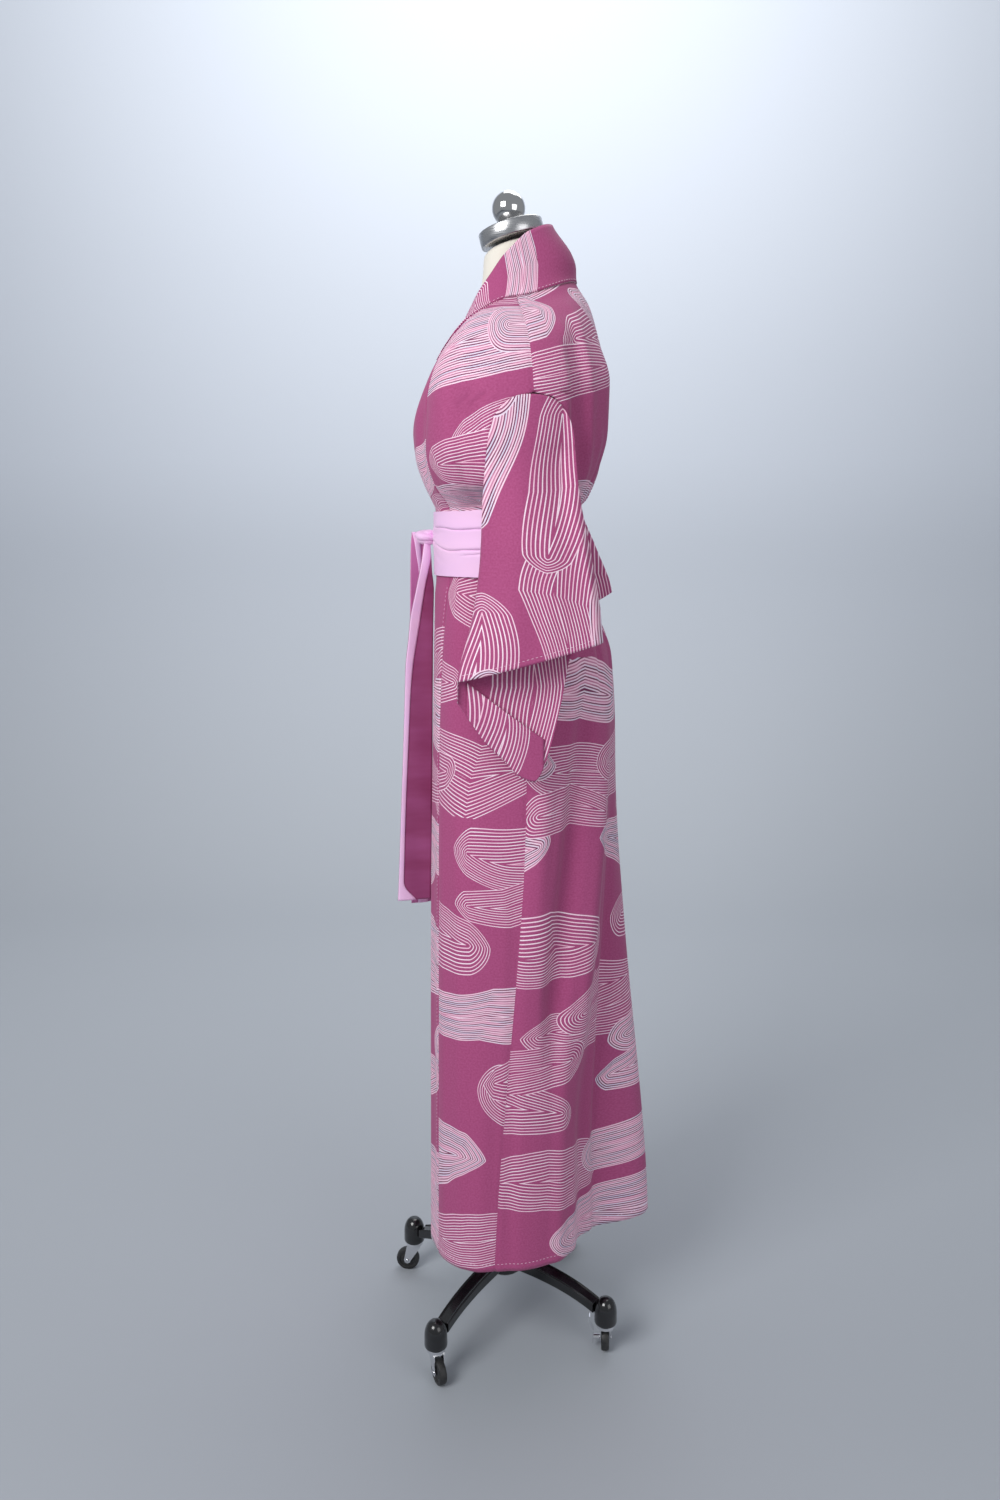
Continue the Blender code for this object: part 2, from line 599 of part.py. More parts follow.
def overlap_panel(side, material, parent):
    """One overlap panel, from its seam with the body panel to the collar or the front edge."""
    below_collar = COLLAR_END_LEVEL + 0.03
    levels = [level for level in SKIRT_LEVELS if level > below_collar] + [below_collar]
    levels += [level for level in (*SKIRT_LEVELS, *CHEST_LEVELS) if level <= COLLAR_END_LEVEL]
    levels.append(OVERLAP_TOP_LEVEL)
    rows = []
    for level in levels:
        end = OVERLAP_EDGE_ANGLE if level >= below_collar else seam_angle(level)
        end -= edge_gap(end, level)
        row = []
        for step in range(OVERLAP_COLUMNS + 1):
            degrees = OVERLAP_SEAM_ANGLE + (end - OVERLAP_SEAM_ANGLE) * step / OVERLAP_COLUMNS
            if side == "left":
                row.append(robe_frame(degrees, level, lap_lift(degrees)))
            else:
                row.append(robe_frame(360.0 - degrees, level))
        rows.append(row)
    return strip("overlap_panel_" + side, rows, CLOTH, material, parent)


def collar_row(position, columns, lift=0.0):
    """Framed points across the collar band at a station, negative on the right side."""
    left = position >= 0.0
    index = min(int(abs(position)), len(COLLAR) - 2)
    share = abs(position) - index
    seam_level = COLLAR[index].seam_level * (1.0 - share) + COLLAR[index + 1].seam_level * share
    seam_degrees = glide(column(COLLAR, "seam_angle"), abs(position))
    free_level = glide(column(COLLAR, "free_level"), abs(position))
    free_degrees = glide(column(COLLAR, "free_angle"), abs(position))
    row = []
    for step in range(columns + 1):
        across = step / columns
        degrees = seam_degrees + (free_degrees - seam_degrees) * across
        level = seam_level + (free_level - seam_level) * across
        over = lap_lift(degrees) if left else 0.0
        row.append(robe_frame(degrees if left else 360.0 - degrees, level, over + lift))
    return row


def collar_positions(end_level):
    """Stations from one end of the collar to the other, in step with the panels' levels."""
    levels = [level for level in (*SKIRT_LEVELS, *CHEST_LEVELS, *YOKE_LEVELS) if level <= end_level]
    half = [*NECK_STATIONS, *(lapel_station(level) for level in reversed(levels))]
    return [-position for position in reversed(half[1:])] + half


def collar_band(material, parent):
    """The collar: one folded band round the neck and down both lapels."""
    rows = [collar_row(position, COLLAR_COLUMNS) for position in collar_positions(COLLAR_END_LEVEL)]
    return strip("collar", rows, COLLAR_CLOTH, material, parent)


def collar_cover(material, parent):
    """The half collar, sewn over the outside of the band round the neck."""
    lift = COLLAR_CLOTH / 2 + SEAM_GAP + COVER_CLOTH / 2
    rows = [collar_row(position, COLLAR_COLUMNS, lift) for position in collar_positions(COVER_END_LEVEL)]
    return strip("half_collar", rows, COVER_CLOTH, material, parent)


def sleeve_value(side, height, name):
    """A column of the sleeve's table at a height."""
    return read_table(SLEEVES[side], "z", height, name)


def sleeve_span(side, height, share):
    """Y at a share of the way from the sleeve's front fold to its back fold."""
    front = sleeve_value(side, height, "front")
    return front + (sleeve_value(side, height, "back") - front) * share


def sleeve_top(around):
    """Height of the sleeve's upper edge: on the armhole outside, dipping below it inside."""
    up = math.sin(around)
    if up >= 0.0:
        return ARMHOLE_HEIGHT + ARMHOLE_HALF_HEIGHT * squared_circle(math.cos(around))
    return ARMHOLE_HEIGHT + UNDERARM_DIP * up


def sleeve_foot(side, around):
    """Height of the sleeve's lower edge: the wrist outside, the bag's outline inside."""
    across = 0.5 + 0.5 * math.cos(around)
    raised = FOOT_RAISE[side] * across
    if math.sin(around) > -0.01:
        return WRIST_FRONT_Z + (WRIST_BACK_Z - WRIST_FRONT_Z) * across + raised
    return read_table(BAG_OUTLINE, "across", across * SLEEVE_SPAN, "z") + raised


def robe_x(y, z):
    """X of the body panel's cloth, beside the arm, at a Y and a height."""
    degrees, level = ARMHOLE_ANGLE, BESIDE_ARM_LEVEL
    for _ in range(SEARCH_STEPS):
        point = robe_surface(degrees, level)
        degrees += math.degrees((point.y - y) / point.x)
        level += (point.z - z) / LEVEL_SPACING
        level = min(max(level, BESIDE_ARM_TOP), BESIDE_ARM_FOOT)
    return point.x


def sleeve_surface(side, turn, height):
    """A point of the sleeve's wall: turn goes round from the back fold by the outside."""
    around = math.radians(turn)
    up = math.sin(around)
    outer = sleeve_value(side, height, "outer")
    inner = sleeve_value(side, height, "inner")
    middle = inner + (outer - inner) * SLEEVE_MIDDLE
    y = sleeve_span(side, height, 0.5 + 0.5 * math.cos(around))
    x = middle + (outer - middle) * max(up, 0.0) ** SLEEVE_ROUNDNESS
    sewn = ease((height - SLEEVE_FREE_HEIGHT) / (ARMHOLE_HEIGHT - SLEEVE_FREE_HEIGHT))
    if sewn > 0.0:
        x += (robe_x(min(y, ARMHOLE_BACK_Y), max(height, ARMHOLE_HEIGHT)) + SLEEVE_LIFT - x) * sewn
    x -= (middle - inner) * max(-up, 0.0) ** SLEEVE_ROUNDNESS
    return Vector((x, y, height))


def sleeve_frame(side, turn, height):
    """A sleeve point with its outward normal."""
    return framed(lambda u, v: sleeve_surface(side, u, -v), turn, -height, 1.0, 0.003)


def mirrored(side, framed_point):
    """A framed point of the left side, carried over to the right side where asked."""
    if side == "left":
        return framed_point
    flip = Vector((-1.0, 1.0, 1.0))
    point, normal = framed_point
    return point * flip, normal * flip


def hang_sleeve(side, material, parent):
    """A sleeve as it hangs: a flattened tube, open at the armhole, underarm and wrist."""
    rows = []
    for row in range(SLEEVE_ROWS + 1):
        ring = []
        for step in range(SLEEVE_SIDES):
            turn = 360.0 * step / SLEEVE_SIDES
            around = math.radians(turn)
            top = sleeve_top(around)
            height = top + (sleeve_foot(side, around) - top) * row / SLEEVE_ROWS
            ring.append(mirrored(side, sleeve_frame(side, turn, height)))
        rows.append(ring)
    return strip("sleeve_" + side, rows, CLOTH, material, parent, closed=True)


def cuff_surface(side, share, down):
    """A point of the bag's outer layer, from the wrist's lower lip down to the bag's outline."""
    across = (CUFF_FROM + (CUFF_TO - CUFF_FROM) * share) / SLEEVE_SPAN
    around = 2.0 * math.pi - math.acos(2.0 * across - 1.0)
    lip = CUFF_LIP_FRONT_Z + (CUFF_LIP_BACK_Z - CUFF_LIP_FRONT_Z) * share + FOOT_RAISE[side] * across
    height = lip + (sleeve_foot(side, around) + CUFF_FOOT_MARGIN - lip) * down
    wall = sleeve_surface(side, math.degrees(around), height)
    belly = CUFF_BELLY * math.sin(math.pi * share) * (1.0 - down * down)
    return wall + Vector((CLOTH + SEAM_GAP + belly, 0.0, 0.0))


def sleeve_bag(side, material, parent):
    """The outer layer of the sleeve's hanging bag, whose upper edge is the wrist's lower lip."""
    rows = []
    for row in range(BAG_ROWS + 1):
        ring = []
        for step in range(BAG_COLUMNS + 1):
            share = BAG_MARGIN + (1.0 - 2 * BAG_MARGIN) * step / BAG_COLUMNS
            framed_point = framed(lambda u, v: cuff_surface(side, u, v), share, row / BAG_ROWS, 0.01, 0.02)
            ring.append(mirrored(side, framed_point))
        rows.append(ring)
    return strip("sleeve_bag_" + side, rows, CLOTH, material, parent)


def sash_lift(degrees):
    """How far the sash lies out: over one layer behind, and over the lapped fronts."""
    behind = CLOTH / 2 + SASH_EASE + SASH_CLOTH / 2
    lapped = lap_lift(max(degrees, OVERLAP_SEAM_ANGLE)) + COLLAR_CLOTH / 2 + SASH_EASE + SASH_CLOTH / 2
    rise = ease((degrees - SASH_LIFT_FROM) / SASH_LIFT_OVER)
    fall = ease((SASH_LIFT_END - degrees) / SASH_LIFT_FALL)
    return behind + (lapped - behind) * rise * fall


def sash_wrap(material, parent):
    """The sash round the waist, with two flat tucks along it."""
    rows = []
    for tuck in SASH_TUCKS:
        ring = []
        for step in range(SASH_SIDES):
            degrees = 360.0 * step / SASH_SIDES
            level = SASH_TOP_LEVEL + (SASH_BOTTOM_LEVEL - SASH_TOP_LEVEL) * tuck.down
            ring.append(robe_frame(degrees, level, sash_lift(degrees) + tuck.lift))
        rows.append(ring)
    return strip("sash_wrap", rows, SASH_CLOTH, material, parent, closed=True)


def sash_knot(material, parent):
    """The knot at the front: a rounded lump pulled narrow round its middle."""
    bm = bmesh.new()
    bmesh.ops.create_uvsphere(bm, u_segments=KNOT_SEGMENTS, v_segments=KNOT_RINGS, radius=1.0)
    for corner in bm.verts:
        corner.co.z *= 1.0 - KNOT_PINCH * math.exp(-(corner.co.x / KNOT_PINCH_WIDTH) ** 2)
    bmesh.ops.scale(bm, vec=KNOT_HALF_SIZE, verts=bm.verts[:])
    bmesh.ops.translate(bm, vec=KNOT_CENTRE, verts=bm.verts[:])
    return place(bm, "sash_knot", material, parent)


def sash_end(name, material, parent):
    """One hanging end of the sash, as a ribbon between its two edges."""
    table = SASH_ENDS[name]
    rows = []
    for step in range(SASH_END_ROWS + 1):
        position = (len(table) - 1) * step / SASH_END_ROWS
        z, outer_x, outer_y, inner_x, inner_y = (
            glide(column(table, field), position) for field in RibbonRow._fields)
        outer, inner = Vector((outer_x, outer_y, z)), Vector((inner_x, inner_y, z))
        across = (inner - outer).normalized()
        normal = across.cross(Vector((0.0, 0.0, -1.0)))
        rows.append([(outer.lerp(inner, share), normal) for share in (0.0, 0.5, 1.0)])
    return strip(name, rows, SASH_CLOTH, material, parent)


def loft(rings, name, material, parent):
    """A solid through rings of points, closed flat at both ends."""
    bm = bmesh.new()
    loops = [[bm.verts.new(point) for point in ring] for ring in rings]
    for low, high in zip(loops, loops[1:]):
        for step in range(len(low)):
            after = (step + 1) % len(low)
            bm.faces.new((low[step], low[after], high[after], high[step]))
    bm.faces.new(loops[0])
    bm.faces.new(loops[-1])
    return place(bm, name, material, parent)


def turned(profile, sides, first_angle=0.0):
    """A bmesh turned about Z from a profile of radius and height that starts and ends on it."""
    bm = bmesh.new()
    corners = [bm.verts.new((radius, 0.0, z)) for radius, z in profile]
    edges = [bm.edges.new(pair) for pair in zip(corners, corners[1:])]
    bmesh.ops.rotate(bm, cent=(0, 0, 0), matrix=Matrix.Rotation(first_angle, 3, "Z"), verts=corners)
    bmesh.ops.spin(bm, geom=corners + edges, cent=(0, 0, 0), axis=(0, 0, 1),
                   angle=math.tau, steps=sides, use_merge=True)
    bmesh.ops.remove_doubles(bm, verts=bm.verts[:], dist=0.00002)
    return bm


def torso_rings():
    """Rings of the dress form, from its tilted neck top to its flat underside."""
    angles = [math.tau * step / TORSO_SIDES for step in range(TORSO_SIDES)]
    rings = []
    for neck in NECK_ROWS:
        tilt = math.tan(CAP_TILT) * neck.tilt
        rings.append([Vector((neck.radius * math.sin(angle), neck.y + neck.radius * math.cos(angle),
                              neck.z + neck.radius * math.cos(angle) * tilt)) for angle in angles])
    for level in TORSO_SHOULDER_LEVELS:
        ring = []
        for angle in angles:
            degrees = math.degrees(angle)
            off_shoulder = abs(abs((degrees + 180.0) % 360.0 - 180.0) - 90.0)
            beside = ease((off_shoulder - COLLAR_CLEAR_FROM) / COLLAR_CLEAR_OVER)
            under_collar = max(beside, ease((COLLAR_CLEAR_LEVEL - level) / COLLAR_CLEAR_LEVELS))
            clear = SHOULDER_CLEARANCE + COLLAR_CLEARANCE * under_collar
            ring.append(robe_frame(degrees, level, -clear)[0])
        rings.append(ring)
    for row in TORSO_ROWS:
        ring = []
        for angle in angles:
            along = math.cos(angle)
            radius = oval_radius(angle, row.half_width, row.front, row.back,
                                 TORSO_FRONT_POWER, TORSO_BACK_POWER)
            end_z = row.back_z if along >= 0.0 else row.front_z
            height = row.side_z + (end_z - row.side_z) * along * along
            ring.append(Vector((radius * math.sin(angle), radius * along, height)))
        rings.append(ring)
    return rings


def cap_normal():
    """Direction out of the tilted neck top."""
    return Vector((0.0, -math.sin(CAP_TILT), math.cos(CAP_TILT)))


def neck_top():
    """Middle of the neck's flat top."""
    return Vector((0.0, NECK_ROWS[0].y, NECK_ROWS[0].z))


def neck_cap(material, parent):
    """The steel disc on the neck, tilted forwards with the neck's top."""
    half = NECK_CAP_THICKNESS / 2
    rim = NECK_CAP_RADIUS - CAP_EDGE
    bm = turned(((0.0, half), (rim, half), (NECK_CAP_RADIUS, half - CAP_EDGE),
                 (NECK_CAP_RADIUS, CAP_EDGE - half), (rim, -half), (0.0, -half)), CAP_SIDES)
    node = place(bm, "neck_cap", material, parent)
    node.rotation_euler = (CAP_TILT, 0.0, 0.0)
    node.location = neck_top() + cap_normal() * (FIT_GAP + half)
    return node


def finial(material, parent):
    """The ball and its short stem, standing square on the neck cap."""
    base = NECK_CAP_THICKNESS + 2 * FIT_GAP
    centre = base + BALL_STEM + BALL_RADIUS
    profile = [(0.0, base), (BALL_STEM_RADIUS, base)]
    first = math.asin(BALL_STEM_RADIUS / BALL_RADIUS)
    for step in range(BALL_STEPS + 1):
        angle = first + (math.pi - first) * step / BALL_STEPS
        profile.append((BALL_RADIUS * math.sin(angle), centre - BALL_RADIUS * math.cos(angle)))
    profile[-1] = (0.0, centre + BALL_RADIUS)
    node = place(turned(profile, RING_SIDES), "finial_ball", material, parent)
    node.rotation_euler = (CAP_TILT, 0.0, 0.0)
    behind = Vector((0.0, math.cos(CAP_TILT), math.sin(CAP_TILT))) * BALL_Y
    node.location = neck_top() + behind
    return node


def leg(number, material, parent):
    """One cast leg: a low arch of rounded section from the hub to a caster cap."""
    heading = math.radians(FIRST_LEG_ANGLE + 90.0 * number)
    out = Vector((math.cos(heading), math.sin(heading), 0.0))
    across = Vector((-out.y, out.x, 0.0))
    start = HUB_RADIUS + SEAM_GAP
    end = CASTER_CIRCLE - CAP_RADIUS - SEAM_GAP
    rings = []
    for step in range(LEG_STEPS + 1):
        way = step / LEG_STEPS
        reach = start + (end - start) * way
        middle = LEG_HUB_Z - LEG_DROP * (reach / CASTER_CIRCLE) ** LEG_ARCH
        half_width = LEG_HALF_WIDTH + (LEG_END_HALF_WIDTH - LEG_HALF_WIDTH) * way
        half_height = LEG_HALF_HEIGHT + (LEG_END_HALF_HEIGHT - LEG_HALF_HEIGHT) * way
        ring = []
        for turn in range(LEG_SIDES):
            angle = math.tau * (turn + 0.5) / LEG_SIDES
            side, up = math.cos(angle), math.sin(angle)
            square = (abs(side) ** LEG_SQUARENESS + abs(up) ** LEG_SQUARENESS) ** (-1.0 / LEG_SQUARENESS)
            ring.append(out * reach + across * (half_width * side * square)
                        + Vector((0.0, 0.0, middle + half_height * up * square)))
        rings.append(ring)
    return loft(rings, "leg_%d" % (number + 1), material, parent)


def caster_cap(number, centre, material, parent):
    """The domed cap over one caster's stem."""
    straight = CAP_TOP - CAP_RADIUS
    profile = [(0.0, CAP_BOTTOM), (CAP_RADIUS - CAP_FOOT_INSET, CAP_BOTTOM),
               (CAP_RADIUS, CAP_BOTTOM + CAP_FOOT_RISE)]
    for step in range(DOME_STEPS + 1):
        angle = math.pi / 2 * step / DOME_STEPS
        profile.append((CAP_RADIUS * math.cos(angle), straight + CAP_RADIUS * math.sin(angle)))
    profile[-1] = (0.0, CAP_TOP)
    node = place(turned(profile, RING_SIDES), "caster_cap_%d" % (number + 1), material, parent)
    node.location = centre
    return node


def extruded(outline, thickness, axis):
    """A bmesh plate: an outline of points, given its thickness along an axis."""
    bm = bmesh.new()
    face = bm.faces.new([bm.verts.new(point) for point in outline])
    side = bmesh.ops.extrude_face_region(bm, geom=[face], use_keep_orig=True)
    moved = [item for item in side["geom"] if isinstance(item, bmesh.types.BMVert)]
    bmesh.ops.translate(bm, vec=Vector(axis) * thickness, verts=moved)
    bmesh.ops.recalc_face_normals(bm, faces=bm.faces[:])
    return bm


def helper_object(bm, name):
    """A cutter or a joined shape that only shapes other objects."""
    mesh = bpy.data.meshes.new(name)
    bm.to_mesh(mesh)
    bm.free()
    helper = bpy.data.objects.new(name, mesh)
    helper.hide_render = True
    helper.display_type = "WIRE"
    bpy.context.collection.objects.link(helper)
    return helper


def combine(node, helper, operation):
    """Joins a helper to a node, or cuts it out."""
    modifier = node.modifiers.new(operation.lower(), "BOOLEAN")
    modifier.operation = operation
    modifier.solver = "EXACT"
    modifier.object = helper


def caster_fork(number, swivel, material):
    """One caster's fork: a swivel ring over two cheeks that reach down to the axle.

    It is drawn with the wheel trailing along +X and the axle along Y.
    """
    name = "caster_fork_%d" % (number + 1)
    width = WHEEL_WIDTH + 2 * (WHEEL_PLAY + CHEEK)
    outline = [(-FORK_NECK, FORK_TOP), (-FORK_NECK, FORK_TOP - FORK_NECK_DROP)]
    for corner in range(FORK_FOOT_STEPS + 1):
        angle = math.pi * corner / FORK_FOOT_STEPS
        outline.append((TRAIL - FORK_FOOT * math.cos(angle), WHEEL_RADIUS - FORK_FOOT * math.sin(angle)))
    outline += [(FORK_NECK + FORK_FRONT_BULGE, FORK_TOP - FORK_NECK_DROP), (FORK_NECK, FORK_TOP)]
    bm = extruded([(x, -width / 2, z) for x, z in outline], width, (0, 1, 0))
    node = place(bm, name, material, swivel)
    slot = WHEEL_WIDTH + 2 * WHEEL_PLAY
    cutter = bmesh.new()
    bmesh.ops.create_cube(cutter, size=1.0)
    bmesh.ops.scale(cutter, vec=(4 * CASTER_REACH, slot, FORK_TOP), verts=cutter.verts[:])
    slot_top = FORK_TOP - FORK_PLATE
    bmesh.ops.translate(cutter, vec=(0.0, 0.0, slot_top - FORK_TOP / 2), verts=cutter.verts[:])
    slot_cutter = helper_object(cutter, name + "_slot")
    ring_foot = FORK_TOP - RING_SINK
    ring_top = CAP_BOTTOM - FIT_GAP
    ring = turned(((0.0, ring_foot), (SWIVEL_RING_RADIUS, ring_foot),
                   (SWIVEL_RING_RADIUS, ring_top - RING_EDGE),
                   (SWIVEL_RING_RADIUS - RING_EDGE, ring_top), (0.0, ring_top)), RING_SIDES)
    bmesh.ops.recalc_face_normals(ring, faces=ring.faces[:])
    swivel_ring = helper_object(ring, name + "_ring")
    slot_cutter.parent = swivel
    swivel_ring.parent = swivel
    combine(node, slot_cutter, "DIFFERENCE")
    combine(node, swivel_ring, "UNION")
    return node


def caster_wheel(number, swivel, material):
    """One wheel, with a flat facet on the floor, turning about its own origin."""
    outer = WHEEL_RADIUS / math.cos(math.pi / WHEEL_SIDES)
    half = WHEEL_WIDTH / 2
    bm = turned(((0.0, half), (outer - TREAD_ROUND, half), (outer, half - TREAD_ROUND),
                 (outer, TREAD_ROUND - half), (outer - TREAD_ROUND, -half), (0.0, -half)),
                WHEEL_SIDES, math.pi / WHEEL_SIDES)
    bmesh.ops.rotate(bm, cent=(0, 0, 0), matrix=Matrix.Rotation(math.pi / 2, 3, "X"), verts=bm.verts[:])
    node = place(bm, "wheel_%d" % (number + 1), material, swivel)
    node.location = (TRAIL, 0.0, WHEEL_RADIUS)
    return node


def brake_lever(swivel, material):
    """The foot lever beside one wheel: a bent strip on a boss that turns about the axle."""
    outline = ((LEVER_PLATE_Y, LEVER_FOOT_Z), (LEVER_PLATE_Y + LEVER_STRIP, LEVER_FOOT_Z),
               (LEVER_PLATE_Y + LEVER_STRIP, LEVER_BEND_Z), (LEVER_PAD_Y + LEVER_STRIP, LEVER_PAD_Z),
               (LEVER_PAD_Y + LEVER_STRIP, LEVER_TOP_Z), (LEVER_PAD_Y, LEVER_TOP_Z),
               (LEVER_PAD_Y, LEVER_PAD_Z), (LEVER_PLATE_Y, LEVER_BEND_Z))
    bm = extruded([(-LEVER_WIDTH / 2, y, z) for y, z in outline], LEVER_WIDTH, (1, 0, 0))
    node = place(bm, "brake_lever", material, swivel)
    node.location = (TRAIL, 0.0, WHEEL_RADIUS)
    start = WHEEL_WIDTH / 2 + WHEEL_PLAY + CHEEK + FIT_GAP
    end = LEVER_PLATE_Y + LEVER_STRIP / 2
    outline = ((0.0, start), (LEVER_BOSS_RADIUS, start), (LEVER_BOSS_RADIUS, end), (0.0, end))
    boss = turned(outline, RING_SIDES)
    on_side = Matrix.Rotation(-math.pi / 2, 3, "X")
    bmesh.ops.rotate(boss, cent=(0, 0, 0), matrix=on_side, verts=boss.verts[:])
    bmesh.ops.recalc_face_normals(boss, faces=boss.faces[:])
    helper = helper_object(boss, "brake_lever_boss")
    helper.parent = node
    combine(node, helper, "UNION")
    return node


def build_stand(axis, finishes):
    """The pole, its hub, the legs and the casters."""
    bm = turned(((0.0, HUB_BOTTOM), (HUB_RADIUS - HUB_EDGE, HUB_BOTTOM), (HUB_RADIUS, HUB_BOTTOM + HUB_EDGE),
                 (HUB_RADIUS, LEG_HUB_Z + HUB_SHOULDER), (HUB_NECK_RADIUS, HUB_TOP - HUB_EDGE),
                 (HUB_NECK_RADIUS - HUB_TOP_EDGE, HUB_TOP),
                 (0.0, HUB_TOP)), HUB_SIDES)
    place(bm, "hub", finishes["black"], axis)
    pole = turned(((0.0, HUB_TOP + FIT_GAP), (POLE_RADIUS, HUB_TOP + FIT_GAP),
                   (POLE_RADIUS, TORSO_BOTTOM - FIT_GAP), (0.0, TORSO_BOTTOM - FIT_GAP)), RING_SIDES)
    place(pole, "pole", finishes["steel"], axis)
    for number, caster in enumerate(CASTERS):
        heading = math.radians(FIRST_LEG_ANGLE + 90.0 * number)
        centre = Vector((math.cos(heading), math.sin(heading), 0.0)) * CASTER_CIRCLE
        leg(number, finishes["black"], axis)
        caster_cap(number, centre, finishes["black"], axis)
        swivel = bpy.data.objects.new("caster_axis_%d" % (number + 1), None)
        swivel.location = centre
        swivel.rotation_euler = (0.0, 0.0, math.radians(caster.trail_angle))
        swivel.parent = axis
        bpy.context.collection.objects.link(swivel)
        caster_fork(number, swivel, finishes["chrome"])
        caster_wheel(number, swivel, finishes["tyre"])
        if caster.brake:
            brake_lever(swivel, finishes["chrome"])


def build():
    """Builds every piece, from the dress form and its stand outwards."""
    axis = start_empty()
    finishes = {
        "robe": finish_material("robe_cloth", (0.46, 0.09, 0.24), 0.85),
        "sash": finish_material("sash_cloth", (0.80, 0.56, 0.80), 0.75),
        "torso": finish_material("form_cover", (0.80, 0.76, 0.68), 0.70),
        "steel": finish_material("brushed_steel", (0.60, 0.60, 0.60), 0.30, 1.0),
        "chrome": finish_material("chrome", (0.80, 0.80, 0.80), 0.12, 1.0),
        "black": finish_material("black_enamel", (0.01, 0.01, 0.01), 0.25),
        "tyre": finish_material("black_tyre", (0.02, 0.02, 0.02), 0.55),
    }
    build_stand(axis, finishes)
    loft(torso_rings(), "form_torso", finishes["torso"], axis)
    neck_cap(finishes["steel"], axis)
    finial(finishes["steel"], axis)
    for side in ("left", "right"):
        body_panel(side, finishes["robe"], axis)
        overlap_panel(side, finishes["robe"], axis)
        hang_sleeve(side, finishes["robe"], axis)
        sleeve_bag(side, finishes["robe"], axis)
    collar_band(finishes["robe"], axis)
    collar_cover(finishes["robe"], axis)
    sash_wrap(finishes["sash"], axis)
    sash_knot(finishes["sash"], axis)
    for name in SASH_ENDS:
        sash_end(name, finishes["sash"], axis)


build()
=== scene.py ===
"""Kimono robe tied with a sash, on a dress form that stands on casters: the look of every surface."""
import bmesh
import bpy
import json
import math
import numpy as np
from collections import namedtuple
from mathutils import Matrix, Vector

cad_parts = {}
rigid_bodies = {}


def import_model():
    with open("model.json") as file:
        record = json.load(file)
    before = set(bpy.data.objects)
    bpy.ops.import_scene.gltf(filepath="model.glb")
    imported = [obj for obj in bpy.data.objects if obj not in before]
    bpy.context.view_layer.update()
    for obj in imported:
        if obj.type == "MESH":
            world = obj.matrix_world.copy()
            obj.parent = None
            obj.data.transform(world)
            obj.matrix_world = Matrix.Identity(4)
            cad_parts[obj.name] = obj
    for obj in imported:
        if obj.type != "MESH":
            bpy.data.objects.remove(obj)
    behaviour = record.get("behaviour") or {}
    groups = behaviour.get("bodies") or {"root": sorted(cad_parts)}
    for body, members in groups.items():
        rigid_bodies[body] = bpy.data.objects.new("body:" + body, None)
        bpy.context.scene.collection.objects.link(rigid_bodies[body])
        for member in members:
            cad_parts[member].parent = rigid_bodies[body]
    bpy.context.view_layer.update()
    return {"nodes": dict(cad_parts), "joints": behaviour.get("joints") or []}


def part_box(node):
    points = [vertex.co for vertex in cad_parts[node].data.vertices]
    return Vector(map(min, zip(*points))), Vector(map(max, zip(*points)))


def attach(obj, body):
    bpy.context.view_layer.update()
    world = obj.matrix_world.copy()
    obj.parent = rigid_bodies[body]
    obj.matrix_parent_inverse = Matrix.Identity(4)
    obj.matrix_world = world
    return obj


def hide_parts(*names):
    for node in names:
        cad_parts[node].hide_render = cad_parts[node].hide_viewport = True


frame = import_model()

# The camera stands at the robe's left side, a little above the sash, and looks slightly down.
# Its place is worked out from the pole, the middle of the stand's circle of casters.
pole_low, pole_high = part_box("pole")
POLE_Y = (pole_low.y + pole_high.y) / 2
CAMERA_DISTANCE = 1.699
CAMERA_HEIGHT = 1.285
CAMERA_ASIDE = -0.008
CAMERA_PITCH = math.radians(10.82)
camera_data = bpy.data.cameras.new("camera")
camera_data.sensor_fit = "VERTICAL"
camera_data.sensor_height = 36.0
camera_data.lens = 27.12
camera = bpy.data.objects.new("camera", camera_data)
camera.location = (CAMERA_DISTANCE, POLE_Y + CAMERA_ASIDE, CAMERA_HEIGHT)
camera.rotation_euler = (math.pi / 2 - CAMERA_PITCH, 0.0, math.pi / 2)
bpy.context.collection.objects.link(camera)
bpy.context.scene.camera = camera

# The studio: one pale paper sweep that is floor in front and wall behind, under four large soft lights. Its
# colour is painted paler up the wall: painted light, as if more light falls on the wall than on the floor.
# None of it is part of the object.
SWEEP_HALF_WIDTH = 5.0
SWEEP_FRONT = 4.0
SWEEP_BACK = -3.2
SWEEP_BEND = 1.2
SWEEP_TOP = 5.0
SWEEP_STEPS = 120
# Floor tone, and the paler wall tone blended in with height up to PAPER_WALL_HEIGHT: the wall tone is
# painted light.
PAPER_FLOOR = (0.375, 0.400, 0.435, 1.0)
PAPER_WALL_PAINTED_LIGHT = (0.480, 0.515, 0.575, 1.0)
PAPER_WALL_HEIGHT = 1.6
bm = bmesh.new()
bmesh.ops.create_grid(bm, x_segments=SWEEP_STEPS, y_segments=2, size=0.5)
for corner in bm.verts:
    run = (corner.co.x + 0.5) * (SWEEP_FRONT - SWEEP_BACK + SWEEP_TOP)
    flat = SWEEP_FRONT - SWEEP_BACK - SWEEP_BEND
    turn = min(max((run - flat) / SWEEP_BEND, 0.0), math.pi / 2)
    rise = max(run - flat - SWEEP_BEND * math.pi / 2, 0.0)
    x = SWEEP_FRONT - min(run, flat) - SWEEP_BEND * math.sin(turn)
    z = SWEEP_BEND * (1.0 - math.cos(turn)) + rise
    corner.co = (x, corner.co.y * 2 * SWEEP_HALF_WIDTH, z)
bmesh.ops.recalc_face_normals(bm, faces=bm.faces[:])
sweep_mesh = bpy.data.meshes.new("paper_sweep")
bm.to_mesh(sweep_mesh)
bm.free()
sweep_mesh.shade_smooth()
paper = bpy.data.materials.new("pale paper")
paper.use_nodes = True
paper_shader = paper.node_tree.nodes["Principled BSDF"]
paper_shader.inputs["Roughness"].default_value = 0.9
paper_place = paper.node_tree.nodes.new("ShaderNodeTexCoord")
